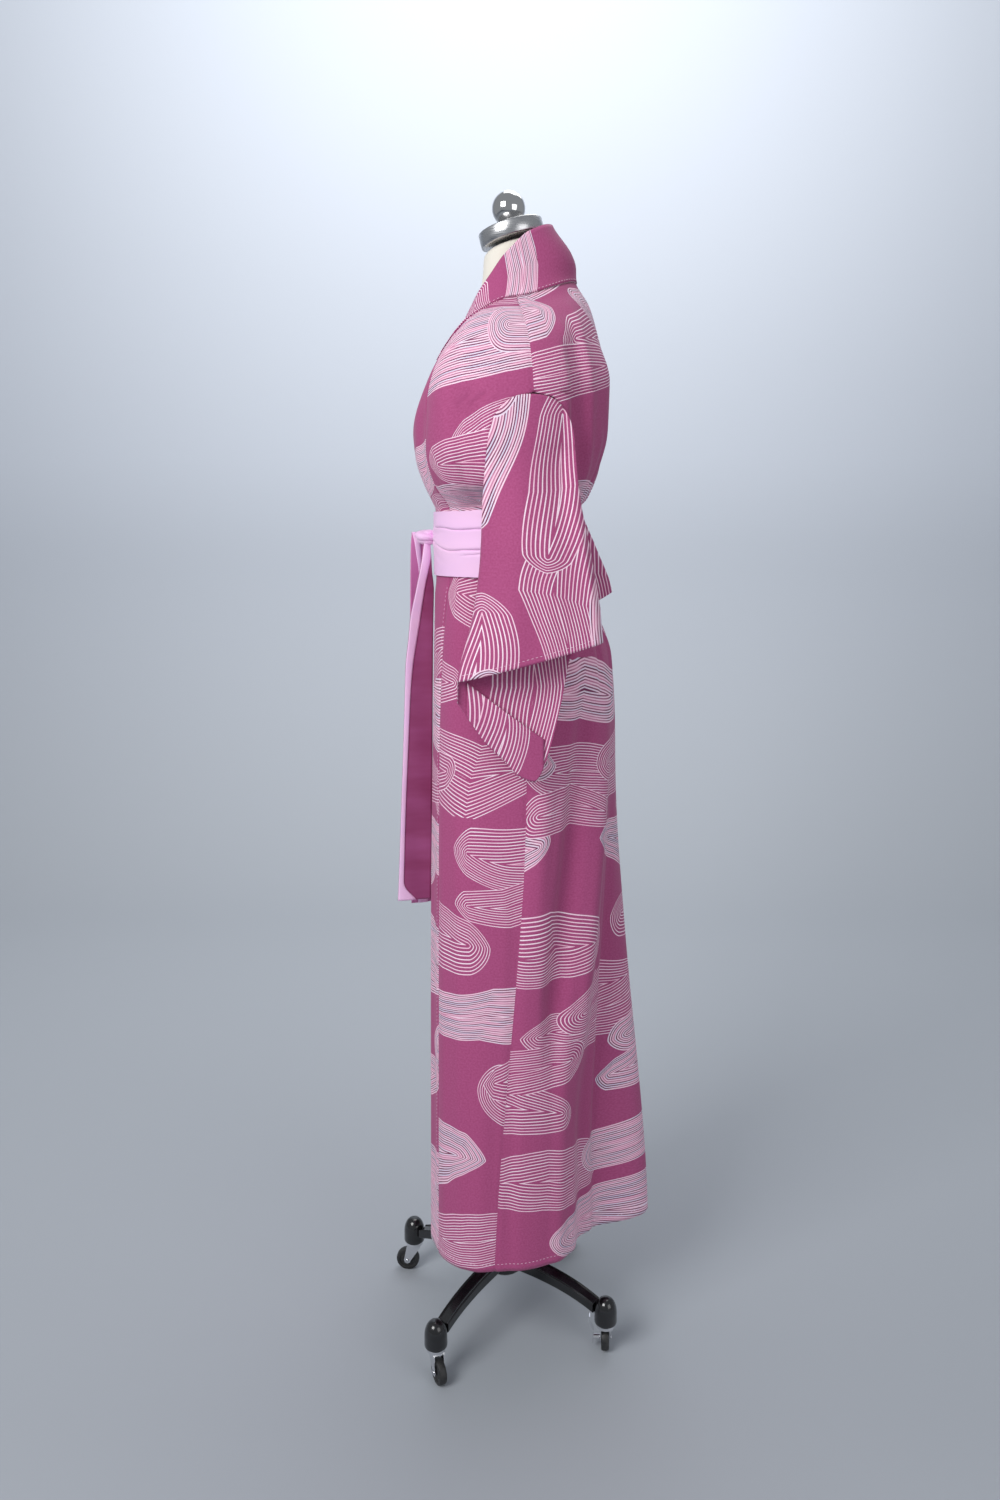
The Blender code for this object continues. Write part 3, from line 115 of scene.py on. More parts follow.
paper_height = paper.node_tree.nodes.new("ShaderNodeSeparateXYZ")
paper_painted_light_fade = paper.node_tree.nodes.new("ShaderNodeMapRange")
paper_mix = paper.node_tree.nodes.new("ShaderNodeMix")
paper_mix.data_type = "RGBA"
paper_painted_light_fade.inputs["From Max"].default_value = PAPER_WALL_HEIGHT
paper_mix.inputs[6].default_value = PAPER_FLOOR
paper_mix.inputs[7].default_value = PAPER_WALL_PAINTED_LIGHT
for start, end in ((paper_place.outputs["Object"], paper_height.inputs[0]),
                   (paper_height.outputs["Z"], paper_painted_light_fade.inputs["Value"]),
                   (paper_painted_light_fade.outputs[0], paper_mix.inputs[0]),
                   (paper_mix.outputs[2], paper_shader.inputs["Base Color"])):
    paper.node_tree.links.new(start, end)
sweep_mesh.materials.append(paper)
sweep = bpy.data.objects.new("paper_sweep", sweep_mesh)
bpy.context.collection.objects.link(sweep)

world = bpy.data.worlds.new("studio air")
world.use_nodes = True
air = world.node_tree.nodes["Background"]
air.inputs["Color"].default_value = (0.80, 0.84, 0.90, 1.0)
air.inputs["Strength"].default_value = 0.40
bpy.context.scene.world = world
bpy.context.scene.view_settings.view_transform = "Standard"

SoftLight = namedtuple("SoftLight", "name place target size power")
SOFT_LIGHTS = (
    SoftLight("key", (2.1, -1.7, 2.5), (0.0, 0.0, 1.25), 1.5, 70.0),
    SoftLight("fill", (2.3, 1.9, 1.6), (0.0, 0.0, 0.9), 1.8, 17.0),
    SoftLight("top", (-0.9, 0.3, 3.2), (0.0, 0.0, 1.3), 1.4, 16.0),
    SoftLight("backdrop wash", (-1.0, 0.0, 3.9), (-3.2, 0.0, 3.2), 2.6, 120.0),
)
for light in SOFT_LIGHTS:
    lamp = bpy.data.lights.new(light.name, "AREA")
    lamp.size = light.size
    lamp.energy = light.power
    lamp_object = bpy.data.objects.new(light.name, lamp)
    lamp_object.location = light.place
    towards = Vector(light.target) - Vector(light.place)
    lamp_object.rotation_euler = towards.to_track_quat("-Z", "Y").to_euler()
    bpy.context.collection.objects.link(lamp_object)


# The stand: cast legs, hub and caster caps in gloss black enamel, under a brushed steel pole.
# The enamel has a faint orange peel, and dust has dulled it unevenly.
class Finish:
    """A Principled material that is put together node by node."""

    def __init__(self, name, colour, roughness, metallic=0.0):
        self.material = bpy.data.materials.new(name)
        self.material.use_nodes = True
        self.tree = self.material.node_tree
        self.shader = self.tree.nodes["Principled BSDF"]
        self.shader.inputs["Base Color"].default_value = (*colour, 1.0)
        self.shader.inputs["Roughness"].default_value = roughness
        self.shader.inputs["Metallic"].default_value = metallic

    def node(self, kind, **settings):
        """Adds a node; settings name its properties, and sockets are set with feed."""
        made = self.tree.nodes.new(kind)
        for key, value in settings.items():
            setattr(made, key, value)
        return made

    def feed(self, socket, value):
        """Links an output to a socket, or sets the socket to a number, vector or colour."""
        if isinstance(value, bpy.types.NodeSocket):
            self.tree.links.new(value, socket)
        else:
            socket.default_value = value

    def maths(self, operation, first, second=0.0, third=0.0):
        """One step of arithmetic on numbers."""
        made = self.node("ShaderNodeMath", operation=operation)
        for socket, value in zip(made.inputs, (first, second, third)):
            self.feed(socket, value)
        return made.outputs[0]

    def vector(self, operation, first, second=(0.0, 0.0, 0.0)):
        """One step of arithmetic on vectors."""
        made = self.node("ShaderNodeVectorMath", operation=operation)
        self.feed(made.inputs[0], first)
        self.feed(made.inputs[1], second)
        return made.outputs["Vector"]

    def joined(self, x, y, z=0.0):
        """A vector from its parts."""
        made = self.node("ShaderNodeCombineXYZ")
        for socket, value in zip(made.inputs, (x, y, z)):
            self.feed(socket, value)
        return made.outputs[0]

    def parts(self, vector):
        """The parts of a vector or colour."""
        made = self.node("ShaderNodeSeparateXYZ")
        self.feed(made.inputs[0], vector)
        return made.outputs

    def noise(self, place, scale, detail=2.0, roughness=0.5):
        """Smooth noise from 0 to 1."""
        made = self.node("ShaderNodeTexNoise")
        self.feed(made.inputs["Vector"], place)
        self.feed(made.inputs["Scale"], scale)
        made.inputs["Detail"].default_value = detail
        made.inputs["Roughness"].default_value = roughness
        return made.outputs["Fac"]

    def between(self, share, first, second):
        """A colour between two."""
        made = self.node("ShaderNodeMix", data_type="RGBA")
        self.feed(made.inputs[0], share)
        for socket, value in ((made.inputs[6], first), (made.inputs[7], second)):
            self.feed(socket, (*value, 1.0) if isinstance(value, tuple) else value)
        return made.outputs[2]

    def span(self, value, low, high, out_low, out_high):
        """A number carried from one range to another, and kept inside it."""
        made = self.node("ShaderNodeMapRange")
        for socket, number in zip(made.inputs, (value, low, high, out_low, out_high)):
            self.feed(socket, number)
        return made.outputs[0]

    def object_place(self):
        """Where a point is on its object, in metres."""
        return self.node("ShaderNodeTexCoord").outputs["Object"]

    def relief(self, height, distance, strength=1.0):
        """Bumps the surface by a height."""
        made = self.node("ShaderNodeBump")
        made.inputs["Distance"].default_value = distance
        made.inputs["Strength"].default_value = strength
        self.feed(made.inputs["Height"], height)
        self.feed(self.shader.inputs["Normal"], made.outputs[0])

    def colour(self, value):
        """Sets the base colour."""
        self.feed(self.shader.inputs["Base Color"], value)

    def rough(self, value):
        """Sets the roughness."""
        self.feed(self.shader.inputs["Roughness"], value)


def dress_node(name, finish):
    """Gives a carried-over node its finish."""
    node = frame["nodes"][name]
    node.data.materials.clear()
    node.data.materials.append(finish.material)


ENAMEL_BLACK = (0.005, 0.005, 0.006)
ENAMEL_DUSTY = (0.020, 0.019, 0.019)
enamel = Finish("gloss black enamel", (0.008, 0.008, 0.009), 0.16)
enamel.shader.inputs["Coat Weight"].default_value = 0.5
enamel.shader.inputs["Coat Roughness"].default_value = 0.08
enamel_place = enamel.object_place()
dust = enamel.noise(enamel_place, 24.0, 5.0)
enamel.colour(enamel.between(enamel.span(dust, 0.45, 0.85, 0.0, 0.5), ENAMEL_BLACK, ENAMEL_DUSTY))
enamel.rough(enamel.span(dust, 0.3, 0.8, 0.10, 0.30))
enamel.relief(enamel.noise(enamel_place, 420.0, 1.0), 0.0001, 0.5)
dress_node("hub", enamel)

pole_steel = Finish("brushed steel tube", (0.56, 0.56, 0.57), 0.28, 1.0)
pole_grain = pole_steel.vector("MULTIPLY", pole_steel.object_place(), (900.0, 900.0, 8.0))
pole_lines = pole_steel.noise(pole_grain, 1.0, 3.0)
pole_steel.rough(pole_steel.span(pole_lines, 0.3, 0.7, 0.22, 0.38))
pole_steel.relief(pole_lines, 0.00006, 0.4)
dress_node("pole", pole_steel)


def finished_mesh(bm, name, *materials):
    """Makes a bmesh a named object that stands at the origin."""
    mesh = bpy.data.meshes.new(name)
    bm.to_mesh(mesh)
    bm.free()
    mesh.shade_smooth()
    for finish in materials:
        mesh.materials.append(finish.material)
    piece = bpy.data.objects.new(name, mesh)
    bpy.context.collection.objects.link(piece)
    return piece


WELD = 0.00001


def spun(profile, steps):
    """A closed bmesh turned about Z, from points of radius and height that start and end on it."""
    bm = bmesh.new()
    corners = [bm.verts.new((radius, 0.0, height)) for radius, height in profile]
    edges = [bm.edges.new(pair) for pair in zip(corners, corners[1:])]
    bmesh.ops.spin(bm, geom=corners + edges, cent=(0, 0, 0), axis=(0, 0, 1),
                   angle=math.tau, steps=steps, use_merge=True)
    bmesh.ops.remove_doubles(bm, verts=bm.verts[:], dist=WELD)
    bmesh.ops.recalc_face_normals(bm, faces=bm.faces[:])
    return bm


# The legs are cast bars that arch down from the hub, broader than high, with a shallow channel
# along the top. Each ends in a domed cap that covers the caster's stem.
CASTER_CIRCLE = 0.192
FIRST_LEG_ANGLE = math.radians(-33.8)
LEG_START = 0.0304
LEG_END = 0.1741
LEG_TOP_Z = 0.100
LEG_DROP = 0.030
LEG_ARCH = 3.2
LEG_ROWS = 28
LegEnd = namedtuple("LegEnd", "half_width half_height")
LEG_AT_HUB = LegEnd(0.0130, 0.0100)
LEG_AT_CAP = LegEnd(0.0112, 0.0086)
LEG_SECTION = ((-1.0, -0.70), (-0.78, -1.0), (0.78, -1.0), (1.0, -0.70), (1.0, 0.78), (0.90, 1.0),
               (0.76, 1.0), (0.66, 0.80), (-0.66, 0.80), (-0.76, 1.0), (-0.90, 1.0), (-1.0, 0.78))
LEG_EDGE_WIDTH = 0.0007
LEG_EDGE_ANGLE = math.radians(28)
CAP_HALF = 0.0178
CAP_FOOT_Z = 0.0562
CAP_DOME_Z = 0.0740
CAP_ROUNDNESS = 0.80
CAP_CROWN_Z = 0.0995
CAP_STEPS = 16
CAP_SIDES = 56
TURNED_EDGE_ANGLE = math.radians(50)
cap_profile = [(0.0, CAP_FOOT_Z), (CAP_HALF - 0.0020, CAP_FOOT_Z), (CAP_HALF - 0.0004, CAP_FOOT_Z + 0.0008),
               (CAP_HALF + 0.0002, CAP_FOOT_Z + 0.0026), (CAP_HALF + 0.0001, CAP_FOOT_Z + 0.0080)]
for step in range(CAP_STEPS):
    angle = math.pi / 2 * step / CAP_STEPS
    height = CAP_DOME_Z + (CAP_CROWN_Z - CAP_DOME_Z) * math.sin(angle)
    cap_profile.append((CAP_HALF * math.cos(angle) ** CAP_ROUNDNESS, height))
cap_profile.append((0.0, CAP_CROWN_Z))
pole_foot = Vector((0.0, POLE_Y, 0.0))
for number in range(4):
    heading = FIRST_LEG_ANGLE + math.pi / 2 * number
    out = Vector((math.cos(heading), math.sin(heading), 0.0))
    aside = Vector((-out.y, out.x, 0.0))
    bm = bmesh.new()
    bmesh.ops.create_grid(bm, x_segments=len(LEG_SECTION), y_segments=LEG_ROWS, size=0.5)
    for corner in bm.verts:
        side, up = LEG_SECTION[round((corner.co.x + 0.5) * len(LEG_SECTION)) % len(LEG_SECTION)]
        way = corner.co.y + 0.5
        reach = LEG_START + (LEG_END - LEG_START) * way
        half_width = LEG_AT_HUB.half_width + (LEG_AT_CAP.half_width - LEG_AT_HUB.half_width) * way
        half_height = LEG_AT_HUB.half_height + (LEG_AT_CAP.half_height - LEG_AT_HUB.half_height) * way
        height = LEG_TOP_Z - LEG_DROP * (reach / CASTER_CIRCLE) ** LEG_ARCH + half_height * up
        corner.co = pole_foot + out * reach + aside * (half_width * side) + Vector((0.0, 0.0, height))
    bmesh.ops.remove_doubles(bm, verts=bm.verts[:], dist=WELD)
    bmesh.ops.holes_fill(bm, edges=bm.edges[:], sides=0)
    bmesh.ops.recalc_face_normals(bm, faces=bm.faces[:])
    leg_piece = finished_mesh(bm, "leg_bar_%d" % (number + 1), enamel)
    leg_piece.data.set_sharp_from_angle(angle=LEG_EDGE_ANGLE)
    soft_edge = leg_piece.modifiers.new("cast edges", "BEVEL")
    soft_edge.width = LEG_EDGE_WIDTH
    soft_edge.segments = 2
    soft_edge.limit_method = "ANGLE"
    soft_edge.angle_limit = LEG_EDGE_ANGLE
    bm = spun(cap_profile, CAP_SIDES)
    bmesh.ops.translate(bm, vec=pole_foot + out * CASTER_CIRCLE, verts=bm.verts[:])
    cap_piece = finished_mesh(bm, "caster_dome_%d" % (number + 1), enamel)
    cap_piece.data.set_sharp_from_angle(angle=TURNED_EDGE_ANGLE)
    for piece, node_name in ((leg_piece, "leg_%d"), (cap_piece, "caster_cap_%d")):
        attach(piece, "robe_and_form")
        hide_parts(node_name % (number + 1))

# The casters: each wheel is one black moulding with a round tread and a groove on each side,
# held in a fork of chromed sheet steel. A rivet head closes each end of its axle.
chrome = Finish("chromed steel", (0.78, 0.78, 0.80), 0.09, 1.0)
chrome_wear = chrome.noise(chrome.object_place(), 160.0, 4.0)
chrome.rough(chrome.span(chrome_wear, 0.35, 0.8, 0.06, 0.26))
chrome.relief(chrome_wear, 0.00005, 0.3)
tyre_rubber = Finish("black tyre", (0.018, 0.018, 0.019), 0.5)
tyre_place = tyre_rubber.object_place()
tyre_dust = tyre_rubber.noise(tyre_place, 90.0, 4.0)
tyre_shade = tyre_rubber.span(tyre_dust, 0.4, 0.9, 0.0, 0.6)
tyre_rubber.colour(tyre_rubber.between(tyre_shade, (0.014, 0.014, 0.015), (0.06, 0.058, 0.055)))
tyre_rubber.rough(tyre_rubber.span(tyre_dust, 0.3, 0.8, 0.40, 0.66))
tyre_rubber.relief(tyre_rubber.noise(tyre_place, 1400.0, 2.0), 0.0001, 0.5)

TYRE_PROFILE = ((0.0000, 0.0040), (0.0035, 0.0040), (0.0040, 0.0050), (0.0100, 0.0050), (0.0108, 0.0042),
                (0.0135, 0.0042), (0.0142, 0.0058), (0.0176, 0.00625), (0.0192, 0.0054), (0.0200, 0.0030),
                (0.0201, 0.0000))
TYRE_SIDES = 64
TYRE_EDGE_ANGLE = math.radians(40)
RIVET_PROFILE = ((0.0, 0.0089), (0.0030, 0.0089), (0.0026, 0.0100), (0.0014, 0.0106), (0.0, 0.0108))
RIVET_SIDES = 24

for joint in frame["joints"]:
    if not joint["name"].endswith("_roll"):
        continue
    number = joint["name"].split("_")[1]
    dress_node("caster_fork_" + number, chrome)
    axle = Vector(joint["axis"]).normalized()
    turn = Vector((0, 0, 1)).rotation_difference(axle).to_matrix().to_4x4()
    seat = Matrix.Translation(Vector(joint["pos_m"])) @ turn
    other_half = tuple((radius, -height) for radius, height in reversed(TYRE_PROFILE[:-1]))
    bm = spun(TYRE_PROFILE + other_half, TYRE_SIDES)
    bmesh.ops.transform(bm, matrix=seat, verts=bm.verts[:])
    tyre = finished_mesh(bm, "tyre_" + number, tyre_rubber)
    tyre.data.set_sharp_from_angle(angle=TYRE_EDGE_ANGLE)
    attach(tyre, joint["child"])
    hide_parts("wheel_" + number)
    for end, half_turn in (("a", 0.0), ("b", math.pi)):
        bm = spun(RIVET_PROFILE, RIVET_SIDES)
        if half_turn:
            turned = Matrix.Rotation(half_turn, 3, "X")
            bmesh.ops.rotate(bm, cent=(0, 0, 0), matrix=turned, verts=bm.verts[:])
        bmesh.ops.transform(bm, matrix=seat, verts=bm.verts[:])
        rivet = finished_mesh(bm, "axle_rivet_%s_%s" % (number, end), chrome)
        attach(rivet, joint["parent"])
dress_node("brake_lever", chrome)

# The dress form: a padded torso under an ivory jersey cover, closed at the neck by a brushed
# steel cap. The polished ball on the cap is turned in one piece with its short stem.
COVER_IVORY = (0.80, 0.745, 0.645)
COVER_PALE = (0.86, 0.815, 0.73)
COVER_SEAM_FROM = 0.0004
COVER_SEAM_TO = 0.0016
COVER_STITCHES_A_METRE = 400.0
cover = Finish("ivory jersey cover", (0.80, 0.75, 0.66), 0.78)
cover.shader.inputs["Sheen Weight"].default_value = 0.25
cover.shader.inputs["Sheen Roughness"].default_value = 0.5
cover_place = cover.object_place()
cover_knit = cover.noise(cover.vector("MULTIPLY", cover_place, (1500.0, 1500.0, 900.0)), 1.0, 2.0)
cover_tone = cover.noise(cover_place, 9.0, 3.0)
cover.colour(cover.between(cover.span(cover_tone, 0.3, 0.7, 0.0, 1.0), COVER_IVORY, COVER_PALE))
cover_x, _, cover_z = cover.parts(cover_place)
cover_seam = cover.span(cover.maths("ABSOLUTE", cover_x), COVER_SEAM_FROM, COVER_SEAM_TO, 1.0, 0.0)
cover_stitch = cover.maths("FRACT", cover.maths("MULTIPLY", cover_z, COVER_STITCHES_A_METRE))
cover_stitch = cover.maths("MULTIPLY_ADD", cover.maths("GREATER_THAN", cover_stitch, 0.4), 0.6, 1.0)
cover_height = cover.maths("MULTIPLY", cover_knit, 0.3)
cover_height = cover.maths("SUBTRACT", cover_height, cover.maths("MULTIPLY", cover_seam, cover_stitch))
cover.relief(cover_height, 0.0008, 0.6)
bm = bmesh.new()
bm.from_mesh(frame["nodes"]["form_torso"].data)
bmesh.ops.remove_doubles(bm, verts=bm.verts[:], dist=0.00002)
bmesh.ops.dissolve_limit(bm, angle_limit=math.radians(1.0), verts=bm.verts[:], edges=bm.edges[:])
bmesh.ops.recalc_face_normals(bm, faces=bm.faces[:])
padded_form = finished_mesh(bm, "padded_form", cover)
padded_form.modifiers.new("smooth cover", "SUBSURF").levels = 1
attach(padded_form, "robe_and_form")
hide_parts("form_torso")

CAP_TILT = math.radians(15)
CAP_RADIUS = 0.046
CAP_THICKNESS = 0.020
BALL_RADIUS = 0.0235
BALL_BEHIND = 0.0045
BALL_FOOT_RADIUS = 0.0090
BALL_STEPS = 24
BALL_SIDES = 64
STEEL_CAP_SIDES = 96
cap_low, cap_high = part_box("neck_cap")
cap_middle = (cap_low + cap_high) / 2
cap_seat = Matrix.Translation(cap_middle) @ Matrix.Rotation(CAP_TILT, 4, "X")
brushed = Finish("brushed steel cap", (0.55, 0.55, 0.56), 0.26, 1.0)
cap_place = brushed.vector("SUBTRACT", brushed.object_place(), tuple(cap_middle))
cap_lines = brushed.noise(brushed.vector("MULTIPLY", cap_place, (60.0, 60.0, 1500.0)), 1.0, 2.0)
brushed.rough(brushed.span(cap_lines, 0.3, 0.7, 0.18, 0.40))
brushed.relief(cap_lines, 0.00006, 0.5)
half_cap = CAP_THICKNESS / 2
bm = spun(((0.0, half_cap - 0.0002), (0.030, half_cap - 0.0001), (CAP_RADIUS - 0.0022, half_cap),
           (CAP_RADIUS - 0.0008, half_cap - 0.0004), (CAP_RADIUS - 0.0001, half_cap - 0.0016),
           (CAP_RADIUS, 0.0), (CAP_RADIUS - 0.0001, 0.0016 - half_cap),
           (CAP_RADIUS - 0.0008, 0.0004 - half_cap), (CAP_RADIUS - 0.0022, -half_cap),
           (0.0, -half_cap)), STEEL_CAP_SIDES)
bmesh.ops.transform(bm, matrix=cap_seat, verts=bm.verts[:])
steel_cap = finished_mesh(bm, "steel_cap", brushed)
steel_cap.data.set_sharp_from_angle(angle=TURNED_EDGE_ANGLE)
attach(steel_cap, "robe_and_form")
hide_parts("neck_cap")

polished = Finish("polished steel ball", (0.66, 0.65, 0.64), 0.06, 1.0)
polished.rough(polished.span(polished.noise(polished.object_place(), 70.0, 4.0), 0.35, 0.8, 0.04, 0.14))
ball_profile = [(0.0, half_cap + 0.0004), (0.0100, half_cap + 0.0004), (0.0098, half_cap + 0.0010)]
ball_foot = math.asin(BALL_FOOT_RADIUS / BALL_RADIUS)
ball_middle = half_cap + 0.0014 + BALL_RADIUS * math.cos(ball_foot)
for step in range(BALL_STEPS):
    angle = ball_foot + (math.pi - ball_foot) * step / BALL_STEPS
    ball_profile.append((BALL_RADIUS * math.sin(angle), ball_middle - BALL_RADIUS * math.cos(angle)))
ball_profile.append((0.0, ball_middle + BALL_RADIUS))
bm = spun(ball_profile, BALL_SIDES)
bmesh.ops.transform(bm, matrix=cap_seat @ Matrix.Translation((0.0, BALL_BEHIND, 0.0)), verts=bm.verts[:])
ball = finished_mesh(bm, "ball_finial", polished)
ball.data.set_sharp_from_angle(angle=TURNED_EDGE_ANGLE)
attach(ball, "robe_and_form")
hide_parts("finial_ball")

# The body of the robe: two panels of crepe, each in one length from the front hem over the
# shoulder to the back hem. They meet in the centre back seam and close at the sides.
CLOTH = 0.0014
SEAM_GAP = 0.0004
LAP_LIFT = 0.0046
EDGE_LIFT = 0.0016
LAP_FROM = 98.0
LAP_OVER = 22.0
EDGE_FROM = 200.0
EDGE_OVER = 20.0
HEM_LEVEL = 16.0
COLLAR_END_LEVEL = 13.0
NECK_SEAM_LEVEL = 1.012
SEAM_LEVEL_GAP = 0.010
OVERLAP_SEAM_ANGLE = 130
ARMHOLE_ANGLE = 80
ARMHOLE_HALF_ANGLE = 14
ARMHOLE_HEIGHT = 1.393
ARMHOLE_HALF_HEIGHT = 0.067
ARMHOLE_SQUARENESS = 2.6
SIDE_SWING = 16.0
SIDE_SWING_TOP = 0.95
SIDE_SWING_HEIGHT = 0.85
METRES_A_DEGREE = 0.0029
RUN_ANGLE = 50.0
LEVEL_SAMPLES = 800

Girth = namedtuple("Girth", "name side_z front_z back_z half_width front back front_power back_power")
GIRTHS = (
    Girth("collar top", 1.690, 1.612, 1.708, 0.060, 0.046, 0.0640, 2.0, 2.0),
    Girth("neck seam", 1.600, 1.556, 1.633, 0.084, 0.060, 0.0980, 2.0, 2.0),
    Girth("yoke", 1.572, 1.505, 1.600, 0.126, 0.090, 0.1180, 2.1, 2.1),
    Girth("shoulder", 1.528, 1.462, 1.560, 0.174, 0.114, 0.1300, 2.2, 2.2),
    Girth("sleeve seam", 1.462, 1.424, 1.500, 0.203, 0.127, 0.1425, 2.3, 2.3),
    Girth("chest", 1.400, 1.390, 1.440, 0.206, 0.124, 0.1415, 2.3, 2.3),
    Girth("blouse", 1.354, 1.354, 1.380, 0.188, 0.112, 0.1350, 2.2, 2.2),
    Girth("above sash", 1.333, 1.333, 1.338, 0.150, 0.102, 0.1200, 2.1, 2.1),
    Girth("sash top", 1.318, 1.318, 1.318, 0.134, 0.097, 0.1080, 2.1, 2.1),
    Girth("sash bottom", 1.224, 1.224, 1.224, 0.134, 0.097, 0.1080, 2.1, 2.1),
    Girth("below sash", 1.198, 1.198, 1.198, 0.141, 0.099, 0.1200, 2.2, 2.1),
    Girth("high hip", 1.110, 1.110, 1.110, 0.158, 0.101, 0.1570, 2.5, 2.1),
    Girth("hip", 0.980, 0.980, 0.980, 0.167, 0.103, 0.1660, 2.8, 2.0),
    Girth("thigh", 0.780, 0.780, 0.780, 0.168, 0.105, 0.1630, 3.0, 2.0),
    Girth("knee", 0.550, 0.550, 0.550, 0.167, 0.108, 0.1550, 3.1, 2.0),
    Girth("shin", 0.350, 0.350, 0.350, 0.168, 0.110, 0.1500, 3.2, 2.0),
    Girth("hem", 0.190, 0.190, 0.190, 0.169, 0.112, 0.1480, 3.2, 2.0),
)
Fold = namedtuple("Fold", "name top full bottom end top_angle bottom_angle half_width depth")
